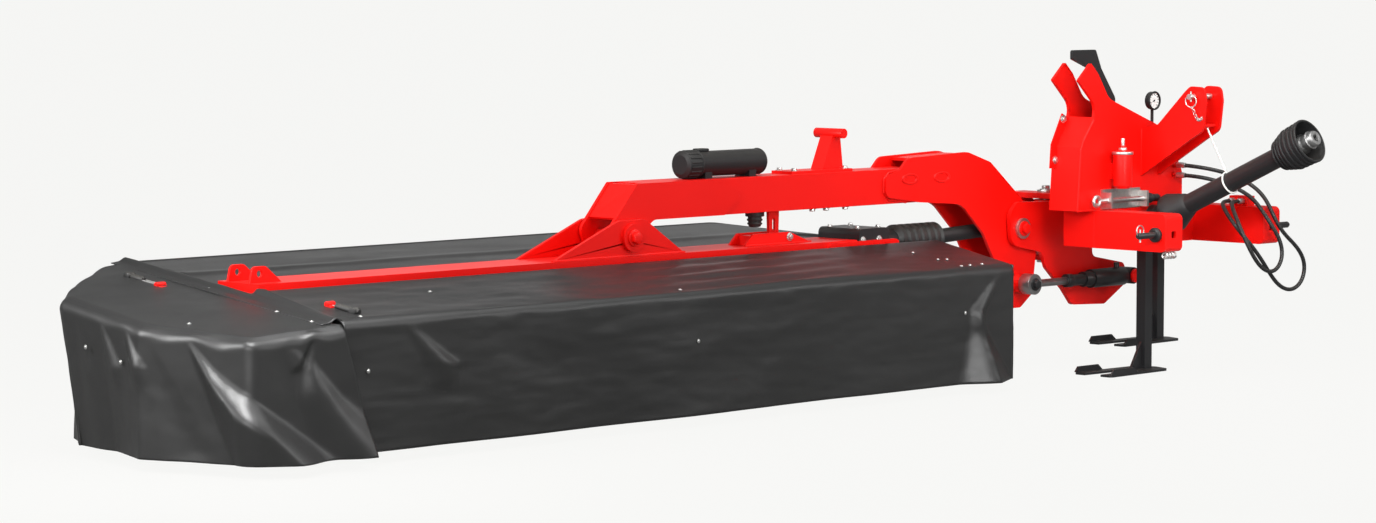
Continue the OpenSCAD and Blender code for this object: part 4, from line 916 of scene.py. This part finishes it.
def makeHeadFittings(s):
    dress(joinPieces("canCap", stackDrums(at(*s["can"]), up, s["cap"])), "headstock", "zinc")
    rod = at(*s["bracket"])
    knob = stackDrums(rod, right, s["knob"]) + stackRings(rod, right, [s["knobRing"]])
    dress(joinPieces("releaseKnob", knob), "headstock", "black_plastic")
    dress(joinPieces("linchPin", makeRingPin(s["linchPin"])), "headstock", "zinc")
    spring, chain = s["spring"], s["chain"]
    coils = [addRing(at(*spring["place"]) + right * spring["pitch"] * k, spring["facing"], *spring["ring"],
                     steps=spring["steps"]) for k in range(spring["turns"])]
    dress(joinPieces("springClip", coils), "headstock", "zinc")
    links = makeRingPin(s["clevisPin"])
    for k in range(chain["links"]):
        t = (k + 0.5) / chain["links"]
        place = at(*chain["start"]).lerp(at(*chain["end"]), t) - up * chain["sag"] * math.sin(math.pi * t)
        links.append(addRing(place, chain["facings"][k % 2], *chain["ring"], steps=chain["steps"]))
    dress(joinPieces("clevisPinChain", links), "headstock", "zinc")
    for name in ("hoseUpper", "hoseLower"):
        points = [at(*place) for place in hoseSet[name]]
        sleeves = stackDrums(points[0], (points[1] - points[0]).normalized(), s["sleeves"])
        sleeves += stackDrums(points[-1], (points[-2] - points[-1]).normalized(), s["farSleeve"])
        dress(joinPieces(name + "Sleeves", sleeves), "headstock", "zinc")


makeHeadFittings(headSet)

armSet = {"can": (0.385, 0.0, 0.987), "grips": 18, "gripOff": 0.056, "grip": (0.014, 0.074, 0.0042, 8, 0.0),
          "rings": [(0.082, 0.056, 0.004), (0.455, 0.0525, 0.003)],
          "catch": ((0.090, -0.02, 0.050), (0.150, 0.02, 0.064), 0.004),
          "buffer": (0.826, 0.0, 0.777), "bufferRings": [(0.036, 0.0285, 0.005), (0.052, 0.027, 0.005)],
          "bufferDrums": [(0, 0.022, 0.040, 32, 0.003), (0.020, 0.066, 0.030, 32, 0.006, 0.026)]}


def makeArmFittings(s):
    can = at(*s["can"])
    ribs = []
    for i in range(s["grips"]):
        a = 2 * math.pi * i / s["grips"]
        ribs += stackDrums(can + Vector((0, math.sin(a), math.cos(a))) * s["gripOff"], right, [s["grip"]])
    low, high, bevel = s["catch"]
    ribs += stackRings(can, right, s["rings"]) + [addBlock(can + Vector(low), can + Vector(high), bevel)]
    dress(joinPieces("canRibs", ribs), "arm", "black_plastic")
    top = at(*s["buffer"])
    rubber = stackDrums(top, -up, s["bufferDrums"]) + stackRings(top, -up, s["bufferRings"])
    dress(joinPieces("stopBuffer", rubber), "arm", "rubber")


makeArmFittings(armSet)

beadSet = {"size": 0.0042, "sides": 8,
           "arm": [[(0.545, -0.0765, 0.779), (0.652, -0.0765, 0.852), (0.545, -0.0765, 0.925)],
                   [(1.690, -0.0765, 0.779), (1.575, -0.0765, 0.795), (1.5435, -0.0765, 0.826),
                    (1.5435, -0.0765, 0.884), (1.575, -0.0765, 0.912), (1.655, -0.0765, 0.925)]],
           "headstock": [[(2.3865, -0.461, 0.727), (2.4085, -0.461, 0.995), (2.425, -0.461, 1.035),
                          (2.497, -0.461, 1.125)],
                         [(2.3875, -0.461, 0.7255), (3.130, -0.461, 0.7255)],
                         [(2.835, -0.461, 1.075), (2.835, -0.461, 0.870)]],
           "bar": [[(-0.440, -0.1105, 0.640), (0.300, -0.1105, 0.640)],
                   [(0.715, -0.051, 0.639), (1.115, -0.051, 0.639)]],
           "slots": [(1.701, -0.0905, 0.881), (1.910, -0.0905, 0.881)], "slotRing": (0.020, 0.0042), "slotStretch": 2.3}


def makeBeads(s):  # weld beads where plates meet, and the two pressed slots of the neck
    for body in ("arm", "headstock", "bar"):
        beads = [addDrum(at(*a), at(*b), s["size"], sides=s["sides"])
                 for line in s[body] for a, b in zip(line, line[1:])]
        dress(joinPieces(body + "Beads", beads), body, "red_paint")
    slots = []
    for place in s["slots"]:
        middle = at(*place)
        ring = addRing(middle, (0, 1, 0), *s["slotRing"])
        longer = Matrix.Diagonal((s["slotStretch"], 1, 1, 1))
        ring.data.transform(Matrix.Translation(middle) @ longer @ Matrix.Translation(-middle))
        slots.append(ring)
    dress(joinPieces("neckSlots", slots), "arm", "red_paint")


makeBeads(beadSet)

hookSet = {"farLatch": ("end_flap", 0.010, ((-2.108, 0.418), (-2.104, 0.240))),  # body, lift and both ends
           "nearLatch": ("front_flap", 0.008, ((-1.797, -0.510), (-1.822, -0.400))),
           "strap": (-0.02, 0.085, 0.013, 14, 0.003), "roller": (0.02, -0.02, 0.016, 16, 0.003),
           "wire": {"near": 0.07, "far": 0.02, "gap": 0.008, "radius": 0.003, "sides": 10},
           "hook": (0.022, -0.022, 0.011, 16, 0.002), "plate": ((-0.018, -0.03, -0.012), (0.018, 0.03, -0.004), 0.002)}


def makeHook(name, s):
    body, lift, spots = s[name]
    ends = []
    for x, y in spots:
        onEnd = body == "end_flap"
        high = endHeight(endSet, min(0.0, x - endSet["hingeX"]), y) if onEnd else frontHeight(frontSet, y)
        ends.append(at(x, y, high + lift))
    near, far = ends
    way = (far - near).normalized()
    side = way.cross(up).normalized()
    strap = stackDrums(near, way, [s["strap"]]) + stackDrums(near, side, [s["roller"]])
    dress(joinPieces(name + "Strap", strap), body, "rubber")
    wire = s["wire"]
    wires = [addDrum(near + way * wire["near"] + side * shift, far - way * wire["far"] + side * shift, wire["radius"],
                     sides=wire["sides"]) for shift in (-wire["gap"], wire["gap"])]
    dress(joinPieces(name + "Wire", wires), body, "zinc")
    low, high, bevel = s["plate"]
    hook = stackDrums(far, side, [s["hook"]]) + [addBlock(far + Vector(low), far + Vector(high), bevel)]
    dress(joinPieces(name + "Hook", hook), body, "red_paint")


for latchName in ("farLatch", "nearLatch"):
    makeHook(latchName, hookSet)
print("fittings set")


# floor and light
stageSet = {"floorSize": 1400.0, "floorHigh": -0.0005, "floorColor": (0.42, 0.42, 0.41, 1), "floorRough": 0.9,
            "floorSpecular": 0.1, "skyColor": (0.945, 0.945, 0.930, 1), "diffuseSky": 0.42, "glossySky": 0.24,
            "floorGlow": 0.965, "floorMirror": 0.28}  # share of the floor that shows the sky, and what mirrors see


def mixShaders(tree, factor, a, b):
    mixer = tree.nodes.new("ShaderNodeMixShader")
    for socket, value in zip(mixer.inputs, (factor, a, b)):
        tree.links.new(value, socket)
    return mixer.outputs[0]


def makeStage(s):
    clearSelection()
    bpy.ops.mesh.primitive_plane_add(size=s["floorSize"], location=(0, 0, s["floorHigh"]))
    floor = bpy.context.object
    floor.name = "floor"
    paper = bpy.data.materials.new("paper")
    paper.use_nodes = True
    tree = paper.node_tree
    shader = tree.nodes["Principled BSDF"]
    shader.inputs["Base Color"].default_value = s["floorColor"]
    shader.inputs["Roughness"].default_value = s["floorRough"]
    shader.inputs["Specular IOR Level"].default_value = s["floorSpecular"]
    seen = tree.nodes.new("ShaderNodeLightPath")
    glow = addNode(tree, "ShaderNodeEmission", Color=s["skyColor"], Strength=1.0)
    dim = addNode(tree, "ShaderNodeEmission", Color=s["skyColor"], Strength=s["floorMirror"])
    direct = addMath(tree, "MULTIPLY", seen.outputs["Is Camera Ray"], s["floorGlow"])
    surface = mixShaders(tree, direct, shader.outputs[0], glow.outputs[0])
    surface = mixShaders(tree, seen.outputs["Is Glossy Ray"], surface, dim.outputs[0])
    tree.links.new(surface, tree.nodes["Material Output"].inputs["Surface"])
    floor.data.materials.append(paper)
    world = bpy.data.worlds.new("studio")
    world.use_nodes = True
    bpy.context.scene.world = world
    tree = world.node_tree
    ground = tree.nodes["Background"]
    ground.inputs["Color"].default_value = s["skyColor"]
    seen = tree.nodes.new("ShaderNodeLightPath")
    direct = addMath(tree, "MULTIPLY", seen.outputs["Is Camera Ray"], 1.0 - s["diffuseSky"])
    mirrored = addMath(tree, "MULTIPLY", seen.outputs["Is Glossy Ray"], s["glossySky"] - s["diffuseSky"])
    strength = addMath(tree, "ADD", addMath(tree, "ADD", direct, mirrored), s["diffuseSky"])
    tree.links.new(strength, ground.inputs["Strength"])
    print("stage set")


makeStage(stageSet)

lampSet = {  # place, aim, size, power and spread
    "topSoftbox": ((-0.3, -1.2, 5.0), (0, 0, 0.4), (7.0, 4.0), 235, 180),
    "keySoftbox": ((-6.4, -3.4, 1.8), (-2.2, -0.5, 0.4), (2.4, 2.0), 150, 180),
    "frontSoftbox": ((0.9, -6.2, 3.2), (1.7, 0, 0.7), (2.6, 2.2), 72, 180),
    "sideSoftbox": ((4.5, -5.0, 3.0), (2.2, 0, 0.6), (2.4, 2.4), 80, 180),
    "headSoftbox": ((-0.8, -4.6, 3.4), (3.0, -0.5, 0.65), (1.4, 1.4), 11, 36),
    "rimSoftbox": ((-6.6, 1.7, 3.3), (-2.4, -0.5, 0.2), (2.6, 2.2), 380, 180),
    "backSoftbox": ((4.7, 5.3, 2.4), (-0.3, 0.4, 0.66), (6.0, 0.85), 20, 180),
    "foldSoftbox": ((-3.2, -2.1, 4.2), (-2.4, -0.6, 0.25), (1.5, 1.5), 20, 36),
    "creaseSoftbox": ((0.1, -5.6, 0.9), (1.5, -0.6, 0.2), (1.3, 0.9), 8, 50),
}


def makeLamps(rows):
    for name, (place, aim, size, power, spread) in rows.items():
        bpy.ops.object.light_add(type="AREA", location=at(*place))
        lamp = bpy.context.object
        lamp.name = name
        lamp.data.shape = "RECTANGLE"
        lamp.data.size, lamp.data.size_y = size
        lamp.data.energy = power
        lamp.data.spread = math.radians(spread)
        lamp.rotation_mode = "QUATERNION"
        lamp.rotation_quaternion = (at(*aim) - at(*place)).to_track_quat("-Z", "Y")
    print("lamps set:", len(rows))


makeLamps(lampSet)
